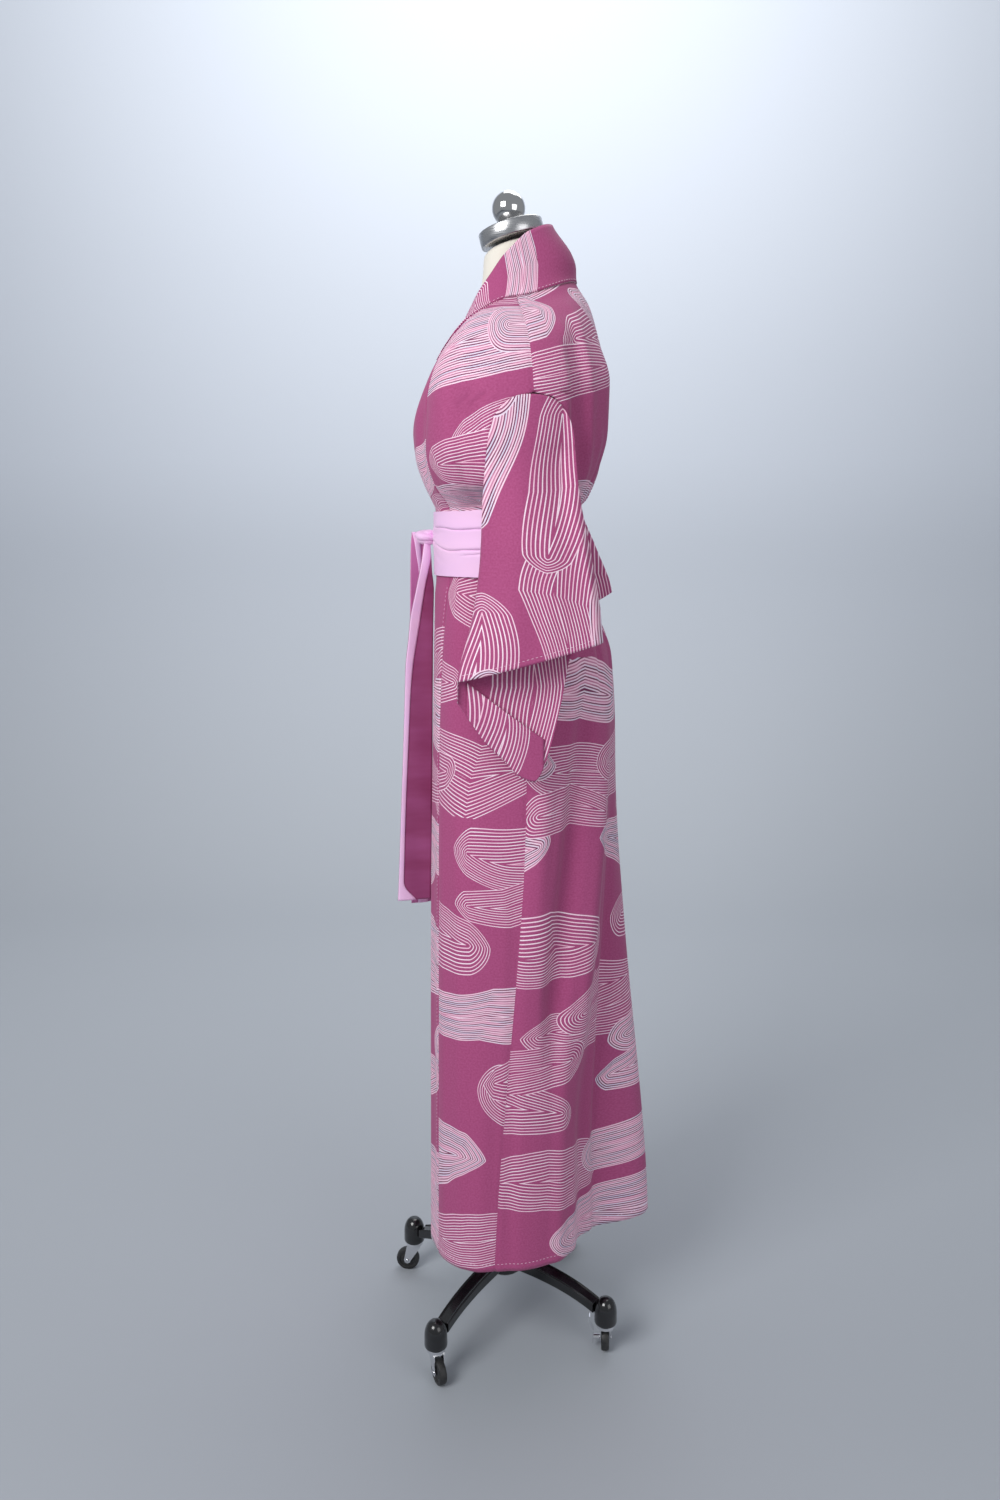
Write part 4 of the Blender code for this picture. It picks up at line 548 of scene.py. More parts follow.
FOLDS = (
    Fold("centre back flare", 1.02, 0.10, 0.00, -0.20, 0, 0, 24, 0.091),
    Fold("left back trough", 1.16, 0.90, 0.62, 0.45, 42, 63, 11, -0.016),
    Fold("left back ridge", 1.10, 0.82, 0.62, 0.40, 26, 44, 11, 0.010),
    Fold("left hem trough", 0.66, 0.36, 0.00, -0.20, 42, 34, 13, -0.012),
    Fold("left hip ridge", 1.12, 0.95, 0.80, 0.60, 66, 74, 9, 0.006),
    Fold("right back trough", 1.14, 0.86, 0.60, 0.42, 318, 300, 11, -0.015),
    Fold("right back ridge", 1.10, 0.84, 0.58, 0.38, 334, 318, 11, 0.009),
    Fold("right hem trough", 0.62, 0.34, 0.00, -0.20, 320, 325, 13, -0.011),
    Fold("left front drape", 1.10, 0.70, 0.00, -0.20, 150, 143, 10, 0.004),
    Fold("right front drape", 1.05, 0.70, 0.00, -0.20, 216, 222, 10, -0.004),
    Fold("collar stand", 1.708, 1.668, 1.662, 1.628, 0, 0, 70, 0.0105),
    Fold("left back armhole trough", 1.56, 1.50, 1.40, 1.34, 57, 58, 9, -0.014),
    Fold("left front armhole trough", 1.49, 1.43, 1.39, 1.33, 108, 105, 9, -0.010),
    Fold("right back armhole trough", 1.56, 1.50, 1.40, 1.34, 303, 302, 9, -0.013),
    Fold("right front armhole trough", 1.49, 1.43, 1.39, 1.33, 252, 255, 9, -0.010),
    Fold("left back armhole crease", 1.55, 1.50, 1.39, 1.34, 61, 62, 4, -0.005),
    Fold("right back armhole crease", 1.55, 1.50, 1.39, 1.34, 299, 298, 4, -0.005),
    Fold("left front armhole crease", 1.49, 1.44, 1.39, 1.34, 103, 101, 4, -0.004),
    Fold("right front armhole crease", 1.49, 1.44, 1.39, 1.34, 257, 259, 4, -0.004),
    Fold("left shoulder blade", 1.56, 1.49, 1.42, 1.35, 30, 34, 14, 0.008),
    Fold("right shoulder blade", 1.56, 1.49, 1.42, 1.35, 330, 326, 14, 0.007),
    Fold("left bust fold", 1.50, 1.43, 1.37, 1.33, 126, 140, 12, -0.007),
    Fold("right bust fold", 1.50, 1.43, 1.37, 1.33, 232, 218, 12, -0.006),
    Fold("left waist gather 1", 1.24, 1.19, 1.12, 1.02, 22, 16, 4, 0.0030),
    Fold("left waist gather 2", 1.24, 1.18, 1.10, 0.98, 35, 33, 4, -0.0034),
    Fold("left waist gather 3", 1.24, 1.19, 1.13, 1.00, 52, 54, 5, 0.0030),
    Fold("left waist gather 4", 1.24, 1.18, 1.12, 1.04, 64, 68, 4, -0.0026),
    Fold("left waist gather 5", 1.23, 1.19, 1.10, 0.99, 86, 84, 5, 0.0024),
    Fold("left waist gather 6", 1.23, 1.19, 1.14, 1.06, 108, 104, 4, -0.0022),
    Fold("right waist gather 1", 1.24, 1.19, 1.12, 1.01, 340, 346, 4, 0.0030),
    Fold("right waist gather 2", 1.24, 1.18, 1.11, 0.99, 327, 329, 4, -0.0032),
    Fold("right waist gather 3", 1.24, 1.19, 1.13, 1.02, 309, 306, 5, 0.0028),
    Fold("right waist gather 4", 1.24, 1.18, 1.12, 1.03, 297, 291, 4, -0.0026),
    Fold("right waist gather 5", 1.23, 1.19, 1.10, 1.00, 274, 277, 5, 0.0024),
    Fold("left blouse gather 1", 1.44, 1.36, 1.335, 1.31, 20, 14, 5, -0.0034),
    Fold("left blouse gather 2", 1.47, 1.37, 1.335, 1.31, 40, 31, 5, -0.0040),
    Fold("left blouse gather 3", 1.42, 1.36, 1.335, 1.31, 50, 47, 4, 0.0028),
    Fold("left blouse gather 4", 1.43, 1.36, 1.335, 1.31, 112, 106, 4, -0.0030),
    Fold("left blouse gather 5", 1.40, 1.36, 1.335, 1.31, 122, 117, 4, 0.0024),
    Fold("right blouse gather 1", 1.44, 1.36, 1.335, 1.31, 344, 348, 5, -0.0034),
    Fold("right blouse gather 2", 1.46, 1.37, 1.335, 1.31, 323, 330, 5, -0.0038),
    Fold("right blouse gather 3", 1.42, 1.36, 1.335, 1.31, 309, 313, 4, 0.0028),
    Fold("right blouse gather 4", 1.43, 1.36, 1.335, 1.31, 249, 254, 4, -0.0030),
    Fold("left shoulder drag 1", 1.60, 1.56, 1.50, 1.42, 44, 52, 6, 0.0022),
    Fold("left shoulder drag 2", 1.58, 1.54, 1.47, 1.38, 62, 58, 5, 0.0026),
    Fold("left shoulder drag 3", 1.56, 1.50, 1.43, 1.36, 112, 104, 6, 0.0024),
    Fold("right shoulder drag 1", 1.60, 1.56, 1.50, 1.42, 316, 309, 6, 0.0022),
    Fold("right shoulder drag 2", 1.58, 1.54, 1.47, 1.38, 299, 303, 5, 0.0024),
    Fold("right shoulder drag 3", 1.56, 1.50, 1.43, 1.36, 247, 255, 6, 0.0024),
    Fold("left back soft trough", 0.98, 0.74, 0.40, 0.20, 17, 24, 7, -0.0050),
    Fold("left back soft ridge", 0.72, 0.46, 0.22, 0.10, 56, 60, 8, 0.0040),
    Fold("right back soft trough", 0.96, 0.70, 0.42, 0.22, 345, 338, 7, -0.0046),
    Fold("right back soft ridge", 0.74, 0.48, 0.24, 0.10, 306, 301, 8, 0.0040),
    Fold("left side trough", 0.90, 0.66, 0.30, 0.05, 84, 88, 6, -0.0028),
    Fold("left side ridge", 0.62, 0.42, 0.10, -0.10, 100, 104, 8, 0.0030),
    Fold("left front trough", 1.06, 0.76, 0.36, 0.05, 120, 118, 7, -0.0026),
    Fold("right side trough", 0.92, 0.64, 0.28, 0.05, 276, 271, 6, -0.0028),
    Fold("right side ridge", 0.60, 0.40, 0.10, -0.10, 259, 256, 8, 0.0030),
    Fold("front soft ridge", 0.94, 0.60, 0.10, -0.20, 186, 180, 9, 0.0030),
    Fold("front soft trough", 1.08, 0.82, 0.50, 0.20, 170, 166, 7, -0.0022),
)


def ease(value):
    """Smooth step from 0 to 1."""
    value = np.clip(value, 0.0, 1.0)
    return value * value * (3.0 - 2.0 * value)


def glide(values, position):
    """Smooth values between the entries of a list, which never overshoot them."""
    values = np.asarray(values, float)
    position = np.clip(position, 0.0, len(values) - 1.0)
    index = np.minimum(position.astype(int), len(values) - 2)
    share = position - index
    steps = np.diff(values)
    product = steps[:-1] * steps[1:]
    total = np.where(product > 0.0, steps[:-1] + steps[1:], 1.0)
    slopes = np.concatenate((steps[:1], np.where(product > 0.0, 2.0 * product / total, 0.0), steps[-1:]))
    square, cube = share ** 2, share ** 3
    return (values[index] * (2 * cube - 3 * square + 1) + slopes[index] * (cube - 2 * square + share)
            + values[index + 1] * (3 * square - 2 * cube) + slopes[index + 1] * (cube - square))


def entries(rows, name):
    """One named column of a table."""
    return [getattr(row, name) for row in rows]


def hump(off):
    """A soft hump, 1 in its middle and 0 from its half width on."""
    return np.where(abs(off) < 1.0, 0.5 + 0.5 * np.cos(np.pi * off), 0.0)


def fold_depth(degrees, height):
    """How far the folds and creases move the cloth out."""
    total = np.zeros_like(height)
    for fold in FOLDS:
        rise = ease((fold.top - height) / (fold.top - fold.full))
        fall = ease((height - fold.end) / (fold.bottom - fold.end))
        way = np.clip((fold.top - height) / (fold.top - max(fold.bottom, 0.0)), 0.0, 1.0)
        centre = fold.top_angle + (fold.bottom_angle - fold.top_angle) * way
        off = ((degrees - centre + 180.0) % 360.0 - 180.0) / fold.half_width
        total += fold.depth * rise * fall * hump(off)
    return total


def robe_point(degrees, level):
    """Points in the middle of the robe's cloth, at angles from the centre back and girth levels."""
    angle = np.radians(degrees)
    side_z, front_z, back_z, half_width, front, back, front_power, back_power = (
        glide(entries(GIRTHS, name), level) for name in Girth._fields[1:])
    along = np.cos(angle)
    behind = along >= 0.0
    depth = np.where(behind, back, front)
    power = np.where(behind, back_power, front_power)
    height = side_z + (np.where(behind, back_z, front_z) - side_z) * along ** 2
    reach = abs(np.sin(angle) / half_width) ** power + abs(along / depth) ** power
    radius = reach ** (-1.0 / power) + fold_depth(degrees, height)
    return np.stack((radius * np.sin(angle), radius * along + POLE_Y, height), axis=-1)


def facing(surface, first, second, first_step, second_step):
    """Unit normals of a surface at its two parameters."""
    along_first = surface(first + first_step, second) - surface(first - first_step, second)
    along_second = surface(first, second + second_step) - surface(first, second - second_step)
    normal = np.cross(along_first, along_second)
    return normal / np.linalg.norm(normal, axis=-1, keepdims=True)


def robe_frame(degrees, level, lift):
    """Robe points moved out by a lift, with their normals."""
    normal = facing(robe_point, degrees, np.clip(level, 0.01, HEM_LEVEL - 0.01), 0.5, 0.01)
    return robe_point(degrees, level) + normal * np.reshape(lift, (-1, 1)), normal


def lap_lift(degrees):
    """How far the left side lies out, so that its front passes over the right front."""
    lapped = LAP_LIFT * ease((degrees - LAP_FROM) / LAP_OVER)
    return lapped + EDGE_LIFT * ease((degrees - EDGE_FROM) / EDGE_OVER)


def side_frame(side, degrees, level, lift):
    """Robe points and normals on one side, at angles from the centre back round that side."""
    if side == "left":
        return robe_frame(degrees, level, lap_lift(degrees) + lift)
    return robe_frame(360.0 - degrees, level, 0.0 * degrees + lift)


def distances(points):
    """Distances along a line of points from its start."""
    return np.concatenate(([0.0], np.cumsum(np.linalg.norm(np.diff(points, axis=0), axis=1))))


def even_levels(start, end, count):
    """Girth levels at even distances down the cloth."""
    fine = np.linspace(start, end, LEVEL_SAMPLES)
    run = distances(robe_point(np.full_like(fine, RUN_ANGLE), fine))
    return np.interp(np.linspace(0.0, run[-1], count + 1), run, fine)


def cloth_run(level):
    """Distance down the cloth from the neck to a girth level, the cloth map's second value."""
    fine = np.linspace(0.0, HEM_LEVEL, 2 * LEVEL_SAMPLES)
    return np.interp(level, fine, distances(robe_point(np.full_like(fine, RUN_ANGLE), fine)))


FACES_ASKED = 7
CLOTH_WELD = 0.00012


def lay_grid(bm, columns, rows, shape):
    """Adds a grid and lays it on a shape, with its cloth map in metres.

    The shape takes the shares across and down as arrays, and gives points, normals and the map.
    """
    made = bmesh.ops.create_grid(bm, x_segments=columns, y_segments=rows, size=0.5)["verts"]
    shares = np.array([corner.co[:2] for corner in made]) + 0.5
    points, normals, cloth_map = shape(shares[:, 0], shares[:, 1])
    map_layer = bm.loops.layers.uv.get("cloth map") or bm.loops.layers.uv.new("cloth map")
    for corner, point, where in zip(made, points, cloth_map):
        corner.co = point
        for loop in corner.link_loops:
            loop[map_layer].uv = where
    faces = list({face for corner in made for face in corner.link_faces})
    outward = 0.0
    for number in range(len(made) // FACES_ASKED, len(made), len(made) // FACES_ASKED):
        face = made[number].link_faces[0]
        face.normal_update()
        outward += face.normal.dot(Vector(normals[number]))
    if outward < 0.0:
        bmesh.ops.reverse_faces(bm, faces=faces)


def cloth_piece(bm, name, thickness, *materials, reverse=0):
    """Makes laid grids one piece of cloth with a real thickness."""
    bmesh.ops.remove_doubles(bm, verts=bm.verts[:], dist=CLOTH_WELD)
    piece = finished_mesh(bm, name, *materials)
    wall = piece.modifiers.new("wall", "SOLIDIFY")
    wall.thickness = thickness
    wall.offset = 0.0
    wall.material_offset = reverse
    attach(piece, "robe_and_form")
    return piece


Station = namedtuple("Station", "seam_level seam_angle free_level free_angle")
COLLAR = (
    Station(1.00, 0, 0.00, 0),
    Station(1.00, 30, 0.00, 30),
    Station(1.00, 60, 0.05, 60),
    Station(1.00, 86, 0.27, 87),
    Station(1.25, 103, 0.60, 110),
    Station(2.00, 120, 1.08, 137),
    Station(2.50, 137, 1.62, 159),
    Station(3.00, 154, 2.15, 177),
    Station(4.00, 171, 3.20, 192),
    Station(5.00, 183, 4.20, 204),
    Station(6.00, 194, 5.40, 215),
    Station(7.00, 202, 6.60, 224),
    Station(8.00, 208, 7.80, 232),
    Station(9.00, 217, 9.00, 242),
    Station(10.0, 219, 10.0, 243),
    Station(11.0, 220, 11.0, 243),
    Station(12.0, 221, 12.0, 243),
    Station(COLLAR_END_LEVEL, 222, COLLAR_END_LEVEL, 243),
)
NECK_CORNER = 3


def seam_angle(level):
    """Angle of the left collar seam at girth levels."""
    lapel = COLLAR[NECK_CORNER:]
    down = np.interp(level - SEAM_LEVEL_GAP, entries(lapel, "seam_level"), range(len(lapel)))
    return glide(entries(COLLAR, "seam_angle"), NECK_CORNER + down)


def edge_gap(degrees, level):
    """The seam gap as an angle at robe points."""
    point = robe_point(degrees, level)
    return np.degrees(SEAM_GAP / np.hypot(point[..., 0], point[..., 1] - POLE_Y))


def side_angle(level):
    """Angle of the side seam, which swings forward towards the hem."""
    height = glide(entries(GIRTHS, "side_z"), level)
    return ARMHOLE_ANGLE + SIDE_SWING * ease((SIDE_SWING_TOP - height) / SIDE_SWING_HEIGHT)


def squared_circle(share):
    """Half the width of a rounded square at a share of its half height."""
    return (1.0 - np.minimum(abs(share), 1.0) ** ARMHOLE_SQUARENESS) ** (1.0 / ARMHOLE_SQUARENESS)


def armhole_half_angle(level):
    """Half the armhole's width at girth levels, 0 above and below it."""
    height = glide(entries(GIRTHS, "side_z"), level)
    off_middle = abs(height - ARMHOLE_HEIGHT) / ARMHOLE_HALF_HEIGHT
    return np.where(off_middle < 0.999, ARMHOLE_HALF_ANGLE * squared_circle(off_middle), 0.0)


# The robe's cloth: crepe in mauve pink, dyed with the old flowing-water pattern. White and
# pale lines run side by side in long rounded shoals, some open, some filled with pale tints.
GROUND = (0.370, 0.062, 0.180)
GROUND_LIGHT = (0.430, 0.084, 0.225)
LINE_WHITE = (0.960, 0.770, 0.880)
LINE_PINK = (0.900, 0.520, 0.680)
FILL_PINK = (0.700, 0.300, 0.450)
FILL_LILAC = (0.660, 0.600, 0.760)
FILL_PLUM = (0.100, 0.014, 0.055)
LINE_STEP = 0.0046
SLEEVE_LINE_STEP = 0.0051
FILLED_CLOSER = 0.24
FILLED_FROM = 0.52
SHOAL_BOW = 1.2
SHOAL_KINK = 0.60
SHOAL_KINK_PLACE = 0.06
SHOAL_TAPER = 0.22
SHOAL_SHIFT = 0.05
SWAY_SCALE = 5.0
SWAY_REACH = (0.13, 0.085, 0.0)
Shoals = namedtuple("Shoals", "length height stagger draw kept")
BIG_SHOALS = Shoals(0.400, 0.124, 0.37, 3.0, 0.92)
SMALL_SHOALS = Shoals(0.260, 0.092, 0.43, 8.0, 0.46)


def shoal_lines(finish, place, shoals, spacing):
    """Lines side by side in shoals: where shown, place in a line, its number, if filled, and x."""
    maths = finish.maths
    run, rise, _ = finish.parts(place)
    rise = maths("DIVIDE", rise, shoals.height)
    row = maths("FLOOR", rise)
    run = maths("MULTIPLY_ADD", row, shoals.stagger, maths("DIVIDE", run, shoals.length))
    column = maths("FLOOR", run)
    luck = finish.node("ShaderNodeTexWhiteNoise", noise_dimensions="3D")
    finish.feed(luck.inputs["Vector"], finish.joined(column, row, shoals.draw))
    chance, kind, lean = finish.parts(luck.outputs["Color"])
    shift = maths("MULTIPLY_ADD", lean, SHOAL_SHIFT, -SHOAL_SHIFT / 2)
    x = maths("MULTIPLY_ADD", maths("SUBTRACT", maths("FRACT", run), 0.5), shoals.length, shift)
    y = maths("MULTIPLY", maths("SUBTRACT", maths("FRACT", rise), 0.5), shoals.height)
    kink = maths("MULTIPLY", maths("SUBTRACT", chance, 0.45), SHOAL_KINK)
    y = maths("MULTIPLY_ADD", maths("SUBTRACT", maths("ABSOLUTE", x), SHOAL_KINK_PLACE), kink, y)
    half_length = maths("MULTIPLY_ADD", kind, 0.10 * shoals.length, 0.24 * shoals.length)
    beyond = maths("MAXIMUM", maths("SUBTRACT", maths("ABSOLUTE", x), half_length), 0.0)
    roundness = maths("MULTIPLY_ADD", lean, 0.80, 1.12)
    off = maths("ADD", maths("POWER", beyond, roundness), maths("POWER", maths("ABSOLUTE", y), roundness))
    off = maths("POWER", off, maths("DIVIDE", 1.0, roundness))
    taper = maths("MULTIPLY", maths("SUBTRACT", lean, 0.5), SHOAL_TAPER)
    radius = maths("MULTIPLY_ADD", kind, 0.12 * shoals.height, 0.35 * shoals.height)
    depth = maths("SUBTRACT", maths("MULTIPLY_ADD", x, taper, radius), off)
    depth = maths("MULTIPLY_ADD", maths("MULTIPLY", x, x), -SHOAL_BOW, depth)
    kept = maths("LESS_THAN", maths("FRACT", maths("MULTIPLY", chance, 7.0)), shoals.kept)
    shown = maths("MULTIPLY", maths("GREATER_THAN", depth, 0.0), kept)
    filled = maths("GREATER_THAN", maths("FRACT", maths("MULTIPLY", lean, 5.0)), FILLED_FROM)
    steps = maths("DIVIDE", depth, maths("MULTIPLY_ADD", filled, -FILLED_CLOSER * spacing, spacing))
    return shown, maths("FRACT", steps), maths("FLOOR", steps), filled, x


def flowing_cloth(name, upright, spacing):
    """The robe's cloth, with its shoals lying across the panel or, on a sleeve, upright."""
    finish = Finish(name, GROUND, 0.82)
    maths = finish.maths
    between = finish.between
    span = finish.span
    finish.shader.inputs["Sheen Weight"].default_value = 0.14
    finish.shader.inputs["Sheen Roughness"].default_value = 0.45
    finish.shader.inputs["Specular IOR Level"].default_value = 0.30
    flat = finish.node("ShaderNodeUVMap", uv_map="cloth map").outputs[0]
    u, v, _ = finish.parts(flat)
    place = finish.joined(v, u) if upright else flat
    sway = finish.node("ShaderNodeTexNoise")
    finish.feed(sway.inputs["Vector"], place)
    sway.inputs["Scale"].default_value = SWAY_SCALE
    sway.inputs["Detail"].default_value = 0.5
    swayed = finish.vector("SUBTRACT", sway.outputs["Color"], (0.5, 0.5, 0.5))
    place = finish.vector("ADD", place, finish.vector("MULTIPLY", swayed, SWAY_REACH))
    mottle = finish.noise(flat, 380.0, 3.0)
    ground = between(span(mottle, 0.35, 0.65, 0.0, 1.0), GROUND, GROUND_LIGHT)
    shade = ground
    for shoals in (BIG_SHOALS, SMALL_SHOALS):
        shown, phase, band, filled, x = shoal_lines(finish, place, shoals, spacing)
        tint_x = maths("MULTIPLY", x, 14.0)
        tint_y = maths("MULTIPLY", band, 0.71)
        tint = finish.noise(finish.joined(tint_x, tint_y, shoals.draw), 1.0, 2.0)
        width = maths("MULTIPLY_ADD", filled, 0.24, 0.30)
        line = maths("LESS_THAN", phase, width)
        lilac = maths("MULTIPLY", filled, span(tint, 0.34, 0.50, 0.9, 0.0))
        pale = between(span(tint, 0.40, 0.66, 0.0, 1.0), LINE_WHITE, LINE_PINK)
        pale = between(lilac, pale, FILL_LILAC)
        gap_tint = between(span(tint, 0.46, 0.60, 0.0, 1.0), FILL_PLUM, FILL_PINK)
        gap = between(maths("MULTIPLY", filled, 0.70), ground, gap_tint)
        shade = between(shown, shade, between(line, gap, pale))
    finish.colour(shade)
    weave = finish.noise(finish.vector("MULTIPLY", flat, (1500.0, 1100.0, 1.0)), 1.0, 3.0)
    crepe = finish.noise(flat, 520.0, 3.0)
    finish.relief(maths("ADD", maths("MULTIPLY", weave, 0.5), crepe), 0.00022, 0.6)
    finish.rough(span(crepe, 0.3, 0.7, 0.74, 0.90))
    return finish


body_cloth = flowing_cloth("flowing water crepe", False, LINE_STEP)
sleeve_cloth = flowing_cloth("flowing water crepe, upright", True, SLEEVE_LINE_STEP)

BACK_COLUMNS = 62
FRONT_COLUMNS = 40
BODY_ROWS = 230
PANEL_MAP_STEP = 2.37
SEAM_DIP = 0.0011


def at_edges(across):
    """1 at a panel's long edges, where its seams pull the cloth in, and 0 elsewhere."""
    return (abs(across - 0.5) > 0.4999).astype(float)


def body_panel(side, number):
    """One body panel, open at the armhole: its back, and its front as far as the next seam."""
    levels = even_levels(NECK_SEAM_LEVEL, HEM_LEVEL, BODY_ROWS)

    def finish_row(degrees, level, across, run, map_row):
        points, normals = side_frame(side, degrees, level, -SEAM_DIP * at_edges(across))
        return points, normals, np.stack((run, cloth_run(level) + map_row), axis=-1)

    def back(across, down):
        level = levels[np.rint(down * BODY_ROWS).astype(int)]
        start = edge_gap(0.0 * level, level) / 2
        end = side_angle(level) - armhole_half_angle(level)
        degrees = start + (end - start) * across
        return finish_row(degrees, level, across, degrees * METRES_A_DEGREE, PANEL_MAP_STEP * number)

    def front(across, down):
        level = levels[np.rint(down * BODY_ROWS).astype(int)]
        start = side_angle(level) + armhole_half_angle(level)
        end = np.minimum(OVERLAP_SEAM_ANGLE, seam_angle(level))
        end = end - edge_gap(end, level)
        degrees = start + (end - start) * across
        run = (degrees - start) * METRES_A_DEGREE
        return finish_row(degrees, level, across, run, PANEL_MAP_STEP * (number + 1))

    bm = bmesh.new()
    lay_grid(bm, BACK_COLUMNS, BODY_ROWS, back)
    lay_grid(bm, FRONT_COLUMNS, BODY_ROWS, front)
    piece = cloth_piece(bm, "body_cloth_" + side, CLOTH, body_cloth)
    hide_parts("body_panel_" + side)
    return piece


left_body = body_panel("left", 0)
body_panel("right", 3)

# The overlap panels: narrow lengths of the same crepe that widen the two fronts, sewn to the
# body panels. The left one crosses over the right one and ends in its free edge.
OVERLAP_TOP_LEVEL = 2.36
OVERLAP_EDGE_ANGLE = 240
BELOW_COLLAR_LEVEL = COLLAR_END_LEVEL + 0.03
OVERLAP_COLUMNS = 70
ROWS_BESIDE_COLLAR = 160
ROWS_BELOW_COLLAR = 52
overlap_levels = np.concatenate((even_levels(OVERLAP_TOP_LEVEL, COLLAR_END_LEVEL, ROWS_BESIDE_COLLAR),
                                 even_levels(BELOW_COLLAR_LEVEL, HEM_LEVEL, ROWS_BELOW_COLLAR)))
for side, number in (("left", 6), ("right", 8)):
    def overlap(across, down):
        level = overlap_levels[np.rint(down * (len(overlap_levels) - 1)).astype(int)]
        end = np.where(level >= BELOW_COLLAR_LEVEL, OVERLAP_EDGE_ANGLE, seam_angle(level))
        end = end - edge_gap(end, level)
        degrees = OVERLAP_SEAM_ANGLE + (end - OVERLAP_SEAM_ANGLE) * across
        points, normals = side_frame(side, degrees, level, -SEAM_DIP * (across < 0.001))
        run = (degrees - OVERLAP_SEAM_ANGLE) * METRES_A_DEGREE
        return points, normals, np.stack((run, cloth_run(level) + PANEL_MAP_STEP * number), axis=-1)

    bm = bmesh.new()
    lay_grid(bm, OVERLAP_COLUMNS, len(overlap_levels) - 1, overlap)
    overlap_piece = cloth_piece(bm, "overlap_cloth_" + side, CLOTH, body_cloth)
    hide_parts("overlap_panel_" + side)

# The collar: one long band folded in two lengthwise, sewn round the neck and down both fronts.
# A half collar of the same cloth covers it where it wears, from lapel to lapel.
COLLAR_CLOTH = 0.0026
COVER_CLOTH = 0.0010
COVER_END_LEVEL = 2.5
COLLAR_COLUMNS = 16
COLLAR_ROWS = 420
COVER_ROWS = 150


def lapel_station(level):
    """Position along the lapel where its seam is at a girth level."""
    lapel = COLLAR[NECK_CORNER:]
    return NECK_CORNER + float(np.interp(level, entries(lapel, "seam_level"), range(len(lapel))))


def collar_shape(end_level, extra_lift, map_row):
    """The band as a shape: across from its seam to its free edge, down from left end to right."""
    end_station = lapel_station(end_level)

    def shape(across, down):
        station = (1.0 - 2.0 * down) * end_station
        place = abs(station)
        index = np.minimum(place.astype(int), len(COLLAR) - 2)
        share = place - index
        seam_levels = np.array(entries(COLLAR, "seam_level"))
        seam_level = seam_levels[index] * (1.0 - share) + seam_levels[index + 1] * share
        seam_degrees = glide(entries(COLLAR, "seam_angle"), place)
        free_level = glide(entries(COLLAR, "free_level"), place)
        free_degrees = glide(entries(COLLAR, "free_angle"), place)
        degrees = seam_degrees + (free_degrees - seam_degrees) * across
        level = seam_level + (free_level - seam_level) * across
        left = station >= 0.0
        lift = np.where(left, lap_lift(degrees), 0.0) + extra_lift
        points, normals = robe_frame(np.where(left, degrees, 360.0 - degrees), level, lift)
        run = cloth_run(seam_level) + place * 0.05
        cloth_map = np.stack((across * 0.07, run * np.where(left, 1.0, -1.0) + map_row), axis=-1)
        return points, normals, cloth_map
    return shape


bm = bmesh.new()
lay_grid(bm, COLLAR_COLUMNS, COLLAR_ROWS, collar_shape(COLLAR_END_LEVEL, 0.0, 31.0))
collar_piece = cloth_piece(bm, "collar_cloth", COLLAR_CLOTH, body_cloth)
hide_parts("collar")

bm = bmesh.new()
cover_lift = COLLAR_CLOTH / 2 + SEAM_GAP + COVER_CLOTH / 2
lay_grid(bm, COLLAR_COLUMNS, COVER_ROWS, collar_shape(COVER_END_LEVEL, cover_lift, 34.3))
half_collar_piece = cloth_piece(bm, "half_collar_cloth", COVER_CLOTH, body_cloth)
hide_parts("half_collar")

# The sleeves: wide flat tubes of the same crepe set into the armholes. Each hangs open at the
# wrist, and its inner wall runs on below it as the inner layer of a rounded bag.
FLIP = {"left": np.array((1.0, 1.0, 1.0)), "right": np.array((-1.0, 1.0, 1.0))}
SLEEVE_MIDDLE = 0.35
SLEEVE_ROUNDNESS = 0.8
SLEEVE_FREE_HEIGHT = 1.26
ARMHOLE_BACK_Y = 0.074
SLEEVE_LIFT = 0.0032
UNDERARM_DIP = 0.150
WRIST_FRONT_Z = 1.093
WRIST_BACK_Z = 1.145
SLEEVE_SPAN = 0.194
FOOT_RAISE = {"left": 0.0, "right": 0.045}
BESIDE_ARM_LEVEL = 4.5
BESIDE_ARM_TOP = 2.0
BESIDE_ARM_FOOT = 8.0
LEVEL_SPACING = 0.06
SEARCH_STEPS = 8
SLEEVE_COLUMNS = 140
SLEEVE_ROWS = 90
SleeveRow = namedtuple("SleeveRow", "z front back outer inner")
SLEEVES = {
    "left": (
        SleeveRow(1.462, -0.018, 0.086, 0.2035, 0.196),
        SleeveRow(1.400, -0.024, 0.089, 0.219, 0.199),
        SleeveRow(1.330, -0.030, 0.096, 0.229, 0.193),
        SleeveRow(1.260, -0.033, 0.110, 0.235, 0.190),
        SleeveRow(1.180, -0.043, 0.124, 0.240, 0.190),
        SleeveRow(1.090, -0.064, 0.130, 0.243, 0.196),
        SleeveRow(0.950, -0.066, 0.130, 0.236, 0.203),
    ),
    "right": (
        SleeveRow(1.462, -0.018, 0.086, 0.2035, 0.196),
        SleeveRow(1.400, -0.022, 0.092, 0.219, 0.195),
        SleeveRow(1.330, -0.018, 0.120, 0.229, 0.191),
        SleeveRow(1.260, -0.014, 0.152, 0.235, 0.190),
        SleeveRow(1.190, -0.014, 0.179, 0.240, 0.190),
        SleeveRow(1.090, -0.020, 0.186, 0.243, 0.196),
        SleeveRow(0.950, -0.020, 0.186, 0.236, 0.203),
    ),
}
BagPoint = namedtuple("BagPoint", "across z")
